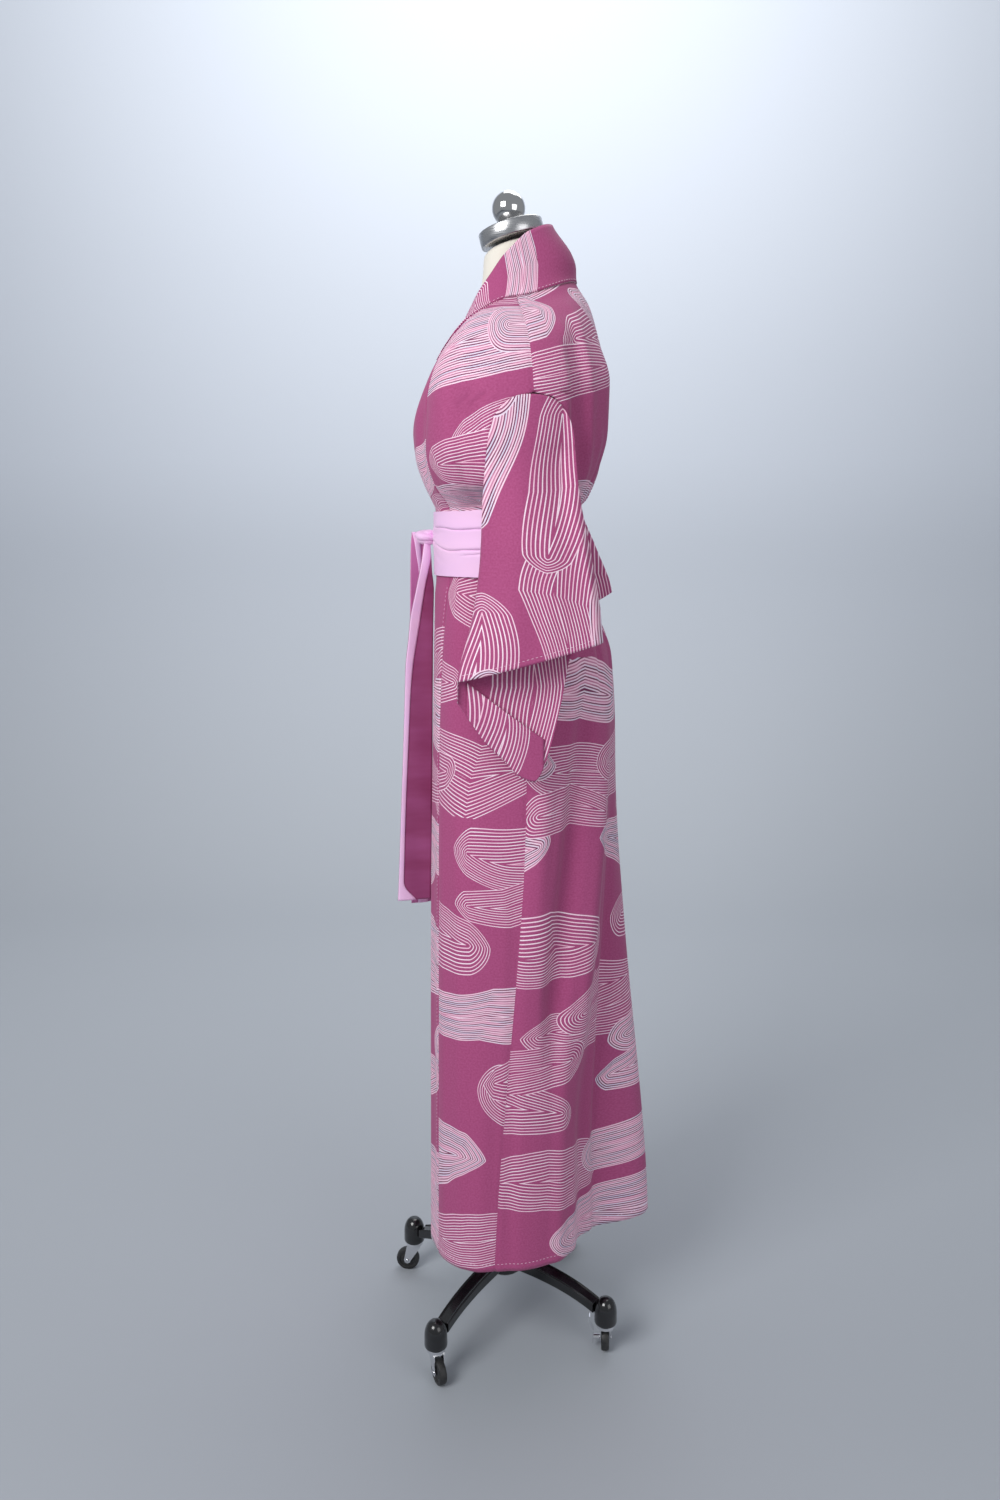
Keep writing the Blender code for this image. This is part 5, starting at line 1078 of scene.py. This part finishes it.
BAG_OUTLINE = (
    BagPoint(0.000, 1.064), BagPoint(0.014, 1.040), BagPoint(0.036, 1.009), BagPoint(0.060, 0.986),
    BagPoint(0.086, 0.960), BagPoint(0.104, 0.954), BagPoint(0.114, 0.970), BagPoint(0.126, 1.008),
    BagPoint(0.140, 1.070), BagPoint(0.150, 1.128), BagPoint(0.194, 1.145),
)
# Soft creases of the outer wall: shares of the way from its back fold to its front fold
SleeveCrease = namedtuple("SleeveCrease", "top full bottom end top_share bottom_share half_width depth")
SLEEVE_CREASES = (
    SleeveCrease(1.44, 1.34, 1.20, 1.10, 0.34, 0.30, 0.16, -0.0040),
    SleeveCrease(1.42, 1.30, 1.18, 1.06, 0.56, 0.62, 0.14, 0.0034),
    SleeveCrease(1.40, 1.28, 1.16, 1.08, 0.76, 0.84, 0.10, -0.0030),
    SleeveCrease(1.34, 1.24, 1.14, 1.04, 0.16, 0.12, 0.09, 0.0024),
)


def at_height(side, height, name):
    """A column of the sleeve's table at heights."""
    rows = SLEEVES[side]
    keys = entries(rows, "z")
    return glide(entries(rows, name), np.interp(-height, [-z for z in keys], range(len(keys))))


def beside_arm_x(y, z):
    """X of the body panel's cloth beside the arm."""
    degrees = np.full_like(y, ARMHOLE_ANGLE)
    level = np.full_like(y, BESIDE_ARM_LEVEL)
    for _ in range(SEARCH_STEPS):
        point = robe_point(degrees, level) - np.array((0.0, POLE_Y, 0.0))
        degrees = degrees + np.degrees((point[:, 1] - y) / point[:, 0])
        level = np.clip(level + (point[:, 2] - z) / LEVEL_SPACING, BESIDE_ARM_TOP, BESIDE_ARM_FOOT)
    return point[:, 0]


def sleeve_point(side, turn, height):
    """Points of the left-hand form of a sleeve's wall: turn goes round from the back fold."""
    around = np.radians(turn)
    up = np.sin(around)
    outer = at_height(side, height, "outer")
    inner = at_height(side, height, "inner")
    middle = inner + (outer - inner) * SLEEVE_MIDDLE
    front = at_height(side, height, "front")
    y = front + (at_height(side, height, "back") - front) * (0.5 + 0.5 * np.cos(around))
    x = middle + (outer - middle) * np.maximum(up, 0.0) ** SLEEVE_ROUNDNESS
    sewn = ease((height - SLEEVE_FREE_HEIGHT) / (ARMHOLE_HEIGHT - SLEEVE_FREE_HEIGHT))
    body_x = beside_arm_x(np.minimum(y, ARMHOLE_BACK_Y), np.maximum(height, ARMHOLE_HEIGHT)) + SLEEVE_LIFT
    x = x + (body_x - x) * sewn
    x = x - (middle - inner) * np.maximum(-up, 0.0) ** SLEEVE_ROUNDNESS
    outside = ease(up / 0.5)
    for crease in SLEEVE_CREASES:
        way = np.clip((crease.top - height) / (crease.top - crease.bottom), 0.0, 1.0)
        centre = crease.top_share + (crease.bottom_share - crease.top_share) * way
        across = hump((around / np.pi - centre) / crease.half_width)
        reach = ease((crease.top - height) / (crease.top - crease.full))
        reach = reach * ease((height - crease.end) / (crease.bottom - crease.end))
        x = x + crease.depth * across * reach * outside
    return np.stack((x, y + POLE_Y, height), axis=-1)


def sleeve_normals(side, turn, height):
    """Unit normals of the left-hand form of a sleeve's wall."""
    return facing(lambda round_turn, drop: sleeve_point(side, round_turn, -drop), turn, -height, 1.0, 0.003)


def sleeve_foot(side, around):
    """Height of the sleeve's lower edge: the wrist outside, the bag's outline inside."""
    across = 0.5 + 0.5 * np.cos(around)
    wrist = WRIST_FRONT_Z + (WRIST_BACK_Z - WRIST_FRONT_Z) * across
    keys = np.interp(across * SLEEVE_SPAN, entries(BAG_OUTLINE, "across"), range(len(BAG_OUTLINE)))
    outline = np.where(np.sin(around) > -0.01, wrist, glide(entries(BAG_OUTLINE, "z"), keys))
    return outline + FOOT_RAISE[side] * across


for side, map_row in (("left", 41.0), ("right", 47.0)):
    def hanging(across, down):
        turn = 360.0 * across
        around = np.radians(turn % 360.0)
        up = np.sin(around)
        top = ARMHOLE_HEIGHT + np.where(up >= 0.0, ARMHOLE_HALF_HEIGHT * squared_circle(np.cos(around)),
                                        UNDERARM_DIP * up)
        height = top + (sleeve_foot(side, around) - top) * down
        points = sleeve_point(side, turn, height)
        normals = sleeve_normals(side, turn, height)
        cloth_map = np.stack((points[:, 1] + np.where(up >= 0.0, 0.0, 1.3), map_row - height), axis=-1)
        return points * FLIP[side], normals * FLIP[side], cloth_map

    bm = bmesh.new()
    lay_grid(bm, SLEEVE_COLUMNS, SLEEVE_ROWS, hanging)
    sleeve_piece = cloth_piece(bm, "sleeve_cloth_" + side, CLOTH, sleeve_cloth)
    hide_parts("sleeve_" + side)

# The sleeve bags: the outer layer of each bag below the wrist, rounded at its foot, sewn to the
# sleeve's inner wall along the bag's outline and standing off it like a pocket.
CUFF_LIP_FRONT_Z = 1.092
CUFF_LIP_BACK_Z = 1.012
CUFF_FROM = 0.010
CUFF_TO = 0.118
CUFF_BELLY = 0.010
CUFF_FOOT_MARGIN = 0.002
BAG_MARGIN = 0.02
BAG_COLUMNS = 36
BAG_ROWS = 30


def bag_point(side, share, down):
    """Points of the bag's outer layer, from the wrist's lower lip down to the bag's outline."""
    across = (CUFF_FROM + (CUFF_TO - CUFF_FROM) * share) / SLEEVE_SPAN
    around = 2.0 * np.pi - np.arccos(2.0 * across - 1.0)
    lip = CUFF_LIP_FRONT_Z + (CUFF_LIP_BACK_Z - CUFF_LIP_FRONT_Z) * share + FOOT_RAISE[side] * across
    height = lip + (sleeve_foot(side, around) + CUFF_FOOT_MARGIN - lip) * down
    wall = sleeve_point(side, np.degrees(around), height)
    wall[:, 0] += CLOTH + SEAM_GAP + CUFF_BELLY * np.sin(np.pi * share) * (1.0 - down * down)
    return wall


for side, map_row in (("left", 53.0), ("right", 57.0)):
    def bag(across, down):
        share = BAG_MARGIN + (1.0 - 2 * BAG_MARGIN) * across
        points = bag_point(side, share, down)
        inside = np.clip(down, 0.01, 0.99)
        normals = facing(lambda way, drop: bag_point(side, way, drop), share, inside, 0.005, 0.01)
        cloth_map = np.stack((points[:, 1], map_row - points[:, 2]), axis=-1)
        return points * FLIP[side], normals * FLIP[side], cloth_map

    bm = bmesh.new()
    lay_grid(bm, BAG_COLUMNS, BAG_ROWS, bag)
    bag_piece = cloth_piece(bm, "sleeve_bag_cloth_" + side, CLOTH, sleeve_cloth)
    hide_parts("sleeve_bag_" + side)

# The stitches: short running stitches in pale silk thread, beside the overlap seams, round the
# half collar, above the hem and above each sleeve's wrist.
STITCH_LENGTH = 0.0034
STITCH_STEP = 0.0060
STITCH_HALF_WIDTH = 0.00042
STITCH_HALF_HEIGHT = 0.00030
STITCH_SIDES = 6
STITCH_RINGS = 4
STITCH_SEAT = 0.0001
STITCH_LIFT = CLOTH / 2 + STITCH_SEAT
THREAD_DEEP = (0.80, 0.52, 0.67)
THREAD_PALE = (0.92, 0.70, 0.82)
silk = Finish("pale silk thread", (0.860, 0.600, 0.740), 0.45)
silk_twist = silk.noise(silk.vector("MULTIPLY", silk.object_place(), (2600.0, 2600.0, 2600.0)), 1.0, 1.0)
silk.colour(silk.between(silk.span(silk_twist, 0.35, 0.65, 0.0, 1.0), THREAD_DEEP, THREAD_PALE))
silk.relief(silk_twist, 0.00012, 0.5)


def stitch_row(name, points, normals):
    """Raised stitches along a line on the cloth, joined in one piece."""
    run = distances(points)
    middles = np.arange(STITCH_STEP, run[-1] - STITCH_STEP, STITCH_STEP)

    def along(values, places):
        return np.stack([np.interp(places, run, values[:, axis]) for axis in range(3)], axis=-1)

    starts = along(points, middles - STITCH_LENGTH / 2)
    ends = along(points, middles + STITCH_LENGTH / 2)
    bm = bmesh.new()
    for start, end, out in zip(starts, ends, along(normals, middles)):
        length = Vector(end - start) / 2
        up = Vector(out).normalized()
        aside = length.cross(up).normalized()
        seat = Matrix((aside * STITCH_HALF_WIDTH, up * STITCH_HALF_HEIGHT, length)).transposed().to_4x4()
        seat.translation = Vector(start + end) / 2
        bmesh.ops.create_uvsphere(bm, u_segments=STITCH_SIDES, v_segments=STITCH_RINGS,
                                  radius=1.0, matrix=seat)
    bmesh.ops.recalc_face_normals(bm, faces=bm.faces[:])
    piece = finished_mesh(bm, name, silk)
    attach(piece, "robe_and_form")


SEAM_STITCH_ANGLE = OVERLAP_SEAM_ANGLE + 1.6
SEAM_STITCH_LEVELS = np.linspace(9.3, HEM_LEVEL - 0.1, 600)
HEM_STITCH_ANGLES = np.linspace(1.5, 238.0, 900)
HEM_STITCH_LEVEL = HEM_LEVEL - 0.075
WRIST_STITCH_TURNS = np.linspace(4.0, 176.0, 400)
WRIST_STITCH_HEIGHT = 0.008
COVER_STITCH_ROWS = np.linspace(0.01, 0.99, 900)
COVER_STITCH_SHARE = 0.06
stitch_lines = (("overlap", np.full_like(SEAM_STITCH_LEVELS, SEAM_STITCH_ANGLE), SEAM_STITCH_LEVELS),
                ("hem", HEM_STITCH_ANGLES, np.full_like(HEM_STITCH_ANGLES, HEM_STITCH_LEVEL)))
for side in ("left", "right"):
    for row, degrees, levels in stitch_lines:
        points, normals = side_frame(side, degrees, levels, STITCH_LIFT)
        stitch_row("%s_stitches_%s" % (row, side), points, normals)
    height = sleeve_foot(side, np.radians(WRIST_STITCH_TURNS)) + WRIST_STITCH_HEIGHT
    normals = sleeve_normals(side, WRIST_STITCH_TURNS, height)
    normals = normals * np.sign(normals[:, :1])
    points = sleeve_point(side, WRIST_STITCH_TURNS, height) + normals * STITCH_LIFT
    stitch_row("wrist_stitches_" + side, points * FLIP[side], normals * FLIP[side])
cover_points = collar_shape(COVER_END_LEVEL, cover_lift + COVER_CLOTH / 2 + STITCH_SEAT, 0.0)
cover_shares = np.full_like(COVER_STITCH_ROWS, COVER_STITCH_SHARE)
points, normals, _ = cover_points(cover_shares, COVER_STITCH_ROWS)
stitch_row("half_collar_stitches", points, normals)

# The sash: a narrow lined belt, pale lilac pink outside and dark mauve on its reverse, wound
# round the waist in soft pleats and tied in front. Its two ends hang from the knot.
SASH_CLOTH = 0.0018
SASH_EASE = 0.0007
SASH_TOP_LEVEL = 8.05
SASH_BOTTOM_LEVEL = 8.95
SASH_LIFT_FROM = 78.0
SASH_LIFT_OVER = 26.0
SASH_LIFT_END = 296.0
SASH_LIFT_FALL = 40.0
SASH_WIDTH = 0.09
Pleat = namedtuple("Pleat", "down rise from_angle over_angle end_angle end_over lip groove")
SASH_PLEATS = (
    Pleat(0.330, -0.050, 118.0, 24.0, 148.0, 9.0, 0.0016, 0.0018),
    Pleat(0.585, -0.120, 124.0, 38.0, 178.0, 5.0, 0.0018, 0.0020),
    Pleat(0.630, 0.020, 96.0, 16.0, 112.0, 8.0, 0.0007, 0.0008),
)
LIP_WIDTH = 0.11
GROOVE_WIDTH = 0.013
PLEAT_WANDER = 0.014
FRONT_ANGLE = 180.0
BEYOND_KNOT_FROM = 204.0
BEYOND_KNOT_OVER = 20.0
SASH_RIPPLE = 0.0006
PULL_HEIGHT = 0.0022
PULL_MIDDLE = 0.47
PULLS_FROM = 122.0
PULLS_OVER = 30.0
PULLS_END = 178.0
PULLS_FALL = 8.0
SASH_COLUMNS = 230
SASH_ROWS = 96
SASH_PALE = (0.880, 0.560, 0.860)
SASH_PINK = (0.930, 0.600, 0.850)
SASH_REVERSE = (0.260, 0.034, 0.125)


def sash_finish(name, first, second):
    """Plain close-woven cloth with a soft shine, in two near tones."""
    finish = Finish(name, first, 0.55)
    finish.shader.inputs["Sheen Weight"].default_value = 0.4
    finish.shader.inputs["Sheen Roughness"].default_value = 0.35
    flat = finish.node("ShaderNodeUVMap", uv_map="cloth map").outputs[0]
    tone = finish.noise(finish.vector("MULTIPLY", flat, (6.0, 30.0, 1.0)), 1.0, 3.0)
    finish.colour(finish.between(finish.span(tone, 0.3, 0.7, 0.0, 1.0), first, second))
    thread = finish.noise(finish.vector("MULTIPLY", flat, (1900.0, 600.0, 1.0)), 1.0, 2.0)
    finish.relief(thread, 0.00016, 0.6)
    finish.rough(finish.span(thread, 0.3, 0.7, 0.46, 0.66))
    return finish


sash_outside = sash_finish("pale sash cloth", SASH_PALE, SASH_PINK)
sash_inside = sash_finish("dark mauve sash lining", SASH_REVERSE, (0.36, 0.075, 0.22))


def sash_lift(degrees):
    """How far the sash lies out: over one layer behind, and over the lapped fronts."""
    behind = CLOTH / 2 + SASH_EASE + SASH_CLOTH / 2
    lapped = lap_lift(np.maximum(degrees, OVERLAP_SEAM_ANGLE))
    lapped = lapped + COLLAR_CLOTH / 2 + SASH_EASE + SASH_CLOTH / 2
    rise = ease((degrees - SASH_LIFT_FROM) / SASH_LIFT_OVER)
    fall = ease((SASH_LIFT_END - degrees) / SASH_LIFT_FALL)
    return behind + (lapped - behind) * rise * fall


def wound(across, down):
    """The sash round the waist, with its pleats and the pulls that run to the knot."""
    degrees = 360.0 * across
    level = SASH_TOP_LEVEL + (SASH_BOTTOM_LEVEL - SASH_TOP_LEVEL) * down
    pleated = SASH_RIPPLE * np.sin(np.radians(degrees * 2.0 + 40.0)) * np.sin(np.pi * down)
    for pleat in SASH_PLEATS:
        behind = ease((FRONT_ANGLE - degrees) / 40.0)
        centre = pleat.down + pleat.rise * ease((degrees - pleat.from_angle) / pleat.over_angle)
        centre = centre + PLEAT_WANDER * np.sin(np.radians(degrees * 3.0)) * behind
        reach = ease((pleat.end_angle + pleat.end_over - degrees) / pleat.end_over)
        reach = np.where(degrees < FRONT_ANGLE, reach, 0.0)
        reach = np.maximum(reach, 0.5 * ease((degrees - BEYOND_KNOT_FROM) / BEYOND_KNOT_OVER))
        off = down - centre
        lip = pleat.lip * np.exp(-(off / LIP_WIDTH) ** 2) * (off < 0.0)
        groove = pleat.groove * np.exp(-((off - 0.4 * GROOVE_WIDTH) / GROOVE_WIDTH) ** 2)
        pleated = pleated + (lip - groove) * reach
    spread = 0.12 + 0.42 * np.clip((172.0 - degrees) / 50.0, 0.0, 1.0)
    fan = (down - PULL_MIDDLE) / spread
    beside_knot = ease((degrees - PULLS_FROM) / PULLS_OVER) * ease((PULLS_END - degrees) / PULLS_FALL)
    beside_knot = beside_knot * np.maximum(1.0 - fan ** 2, 0.0)
    pulls = PULL_HEIGHT * beside_knot * abs(np.sin(3.4 * fan + 0.9))
    points, normals = robe_frame(degrees, level, sash_lift(degrees) + pleated + pulls)
    return points, normals, np.stack((across * 0.85, down * SASH_WIDTH), axis=-1)


bm = bmesh.new()
lay_grid(bm, SASH_COLUMNS, SASH_ROWS, wound)
sash_piece = cloth_piece(bm, "sash_band", SASH_CLOTH, sash_outside)
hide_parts("sash_wrap")

# The knot is a flat square turn of the sash. One end folds over it from the left, and the cloth
# gathers into pleats where the knot pulls it together.
KNOT_SHIFT = Vector((0.0, 0.0035, 0.0015))
KNOT_GROWTH = Vector((0.0, 0.0030, -0.0010))
KNOT_POWER = 2.6
KNOT_SIDES = 96
KNOT_RINGS = 64
knot_low, knot_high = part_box("sash_knot")
knot_middle = (knot_low + knot_high) / 2 + KNOT_SHIFT
knot_half = (knot_high - knot_low) / 2 + KNOT_GROWTH
bm = bmesh.new()
bmesh.ops.create_uvsphere(bm, u_segments=KNOT_SIDES, v_segments=KNOT_RINGS, radius=1.0)
knot_map = bm.loops.layers.uv.new("cloth map")
for corner in bm.verts:
    co = corner.co
    fan = math.atan2(co.z + 0.20, 1.55 - co.y)
    gather = 0.15 * abs(math.sin(4.6 * fan + 1.1 * co.x)) ** 0.7
    power_sum = abs(co.x) ** KNOT_POWER + abs(co.y) ** KNOT_POWER + abs(co.z) ** KNOT_POWER
    size = power_sum ** (-1 / KNOT_POWER) * (0.82 + gather)
    taper = 1.0 - 0.28 * max(-co.y, 0.0) + 0.10 * max(co.y, 0.0)
    for loop in corner.link_loops:
        loop[knot_map].uv = (co.x * knot_half.x * 2.0, co.z * knot_half.z * 2.0)
    corner.co = Vector((co.x * size, co.y * size, (co.z * taper + 0.16 * min(co.y, 0.0) ** 2) * size))
for corner in bm.verts:
    corner.co = Vector(a * b for a, b in zip(corner.co, knot_half)) + knot_middle
knot_piece = finished_mesh(bm, "tied_knot", sash_outside)
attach(knot_piece, "robe_and_form")
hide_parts("sash_knot")

# The two ends hang from the knot, each folded lengthwise. On the left end the dark reverse shows beside a
# turned strip of the pale side; the right end's face is the pale cloth darkened to a mid pink, painted
# shade, beside its own pale strip. They widen as they fall and end in a slanted pale tip.
RibbonRow = namedtuple("RibbonRow", "z outer_x outer_y strip_from strip_to inner_x inner_y")
SASH_ENDS = {
    "sash_end_left": (
        RibbonRow(1.2750, 0.0240, -0.1190, 0.00, 1.00, 0.0180, -0.1110),
        RibbonRow(1.2530, 0.0300, -0.1215, 0.00, 0.90, 0.0230, -0.1088),
        RibbonRow(1.2330, 0.0320, -0.1250, 0.00, 0.66, 0.0230, -0.1080),
        RibbonRow(1.2045, 0.0325, -0.1310, 0.00, 0.46, 0.0225, -0.1055),
        RibbonRow(1.1615, 0.0325, -0.1400, 0.00, 0.42, 0.0215, -0.1068),
        RibbonRow(1.1330, 0.0320, -0.1430, 0.00, 0.34, 0.0205, -0.1075),
        RibbonRow(1.0925, 0.0310, -0.1480, 0.00, 0.26, 0.0195, -0.1082),
        RibbonRow(1.0465, 0.0300, -0.1500, 0.00, 0.19, 0.0185, -0.1090),
        RibbonRow(0.9600, 0.0285, -0.1540, 0.00, 0.16, 0.0170, -0.1105),
        RibbonRow(0.8600, 0.0270, -0.1590, 0.00, 0.14, 0.0155, -0.1125),
        RibbonRow(0.7600, 0.0260, -0.1640, 0.00, 0.15, 0.0145, -0.1145),
        RibbonRow(0.7280, 0.0250, -0.1660, 0.00, 0.55, 0.0140, -0.1155),
    ),
    "sash_end_right": (
        RibbonRow(1.2880, 0.0120, -0.1372, 0.00, 0.40, 0.0060, -0.1250),
        RibbonRow(1.2750, 0.0120, -0.1385, 0.20, 0.62, 0.0040, -0.1190),
        RibbonRow(1.2560, 0.0110, -0.1395, 0.34, 0.66, 0.0020, -0.1180),
        RibbonRow(1.2300, 0.0100, -0.1402, 0.50, 0.66, -0.0010, -0.1180),
        RibbonRow(1.1800, 0.0085, -0.1412, 0.60, 0.66, -0.0050, -0.1165),
        RibbonRow(1.1100, 0.0065, -0.1435, 0.62, 0.66, -0.0080, -0.1155),
        RibbonRow(1.0000, 0.0035, -0.1465, 0.60, 0.68, -0.0100, -0.1150),
        RibbonRow(0.8600, 0.0020, -0.1480, 0.58, 0.70, -0.0100, -0.1150),
        RibbonRow(0.7160, 0.0010, -0.1470, 0.30, 0.80, -0.0100, -0.1155),
    ),
}
# The pale sash cloth darkened to a mid pink: painted shade on the right end's face, which turns away from
# the light.
sash_painted_shade = sash_finish("pale sash cloth in painted shade", (0.60, 0.165, 0.41), (0.66, 0.215, 0.47))
RIBBON_COLUMNS = 14
RIBBON_ROWS = 120
RIBBON_SWAY = 0.0008
EDGE_COLUMNS = 6
EDGE_CLOTH = 0.0008
EDGE_SEAT = 0.0006
EDGE_CROWN = 0.0006


def row_values(table, fields, down):
    """Values from a sash end's table, at shares of the way down it."""
    return [glide(entries(table, field), (len(table) - 1) * down) for field in fields]


for name, table in SASH_ENDS.items():
    def ribbon(across, down):
        z, outer_x, outer_y, _, _, inner_x, inner_y = row_values(table, RibbonRow._fields, down)
        outer = np.stack((outer_x, outer_y + POLE_Y, z), axis=-1)
        inner = np.stack((inner_x, inner_y + POLE_Y, z), axis=-1)
        span = inner - outer
        span = span / np.linalg.norm(span, axis=-1, keepdims=True)
        normals = np.cross(span, np.array((0.0, 0.0, -1.0)))
        sway = RIBBON_SWAY * np.sin(np.pi * across) * np.sin(23.0 * z + 3.0 * across)
        points = outer + (inner - outer) * across[:, None] + normals * sway[:, None]
        return points, normals, np.stack((across * 0.05, z), axis=-1)

    def turned_edge(across, down):
        start, end = row_values(table, ("strip_from", "strip_to"), down)
        points, normals, cloth_map = ribbon(start + (end - start) * across, down)
        outward = np.where(normals[:, :1] < 0.0, -1.0, 1.0) * normals
        crown = EDGE_CROWN * np.sin(np.pi * across)
        return points + outward * (SASH_CLOTH / 2 + EDGE_SEAT + crown[:, None]), outward, cloth_map

    bm = bmesh.new()
    lay_grid(bm, RIBBON_COLUMNS, RIBBON_ROWS, ribbon)
    for face in bm.faces:
        face.normal_update()
    if sum(face.normal.x for face in bm.faces) < 0.0:
        bmesh.ops.reverse_faces(bm, faces=bm.faces[:])
    # The right end's face takes the mid pink painted-shade copy of the pale cloth.
    facing_finish = sash_inside if name == "sash_end_left" else sash_painted_shade
    end_piece = cloth_piece(bm, name + "_cloth", SASH_CLOTH, facing_finish, sash_outside, reverse=1)
    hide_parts(name)
    strip = bmesh.new()
    lay_grid(strip, EDGE_COLUMNS, RIBBON_ROWS, turned_edge)
    edge_piece = cloth_piece(strip, name + "_turned_edge", EDGE_CLOTH, sash_outside)
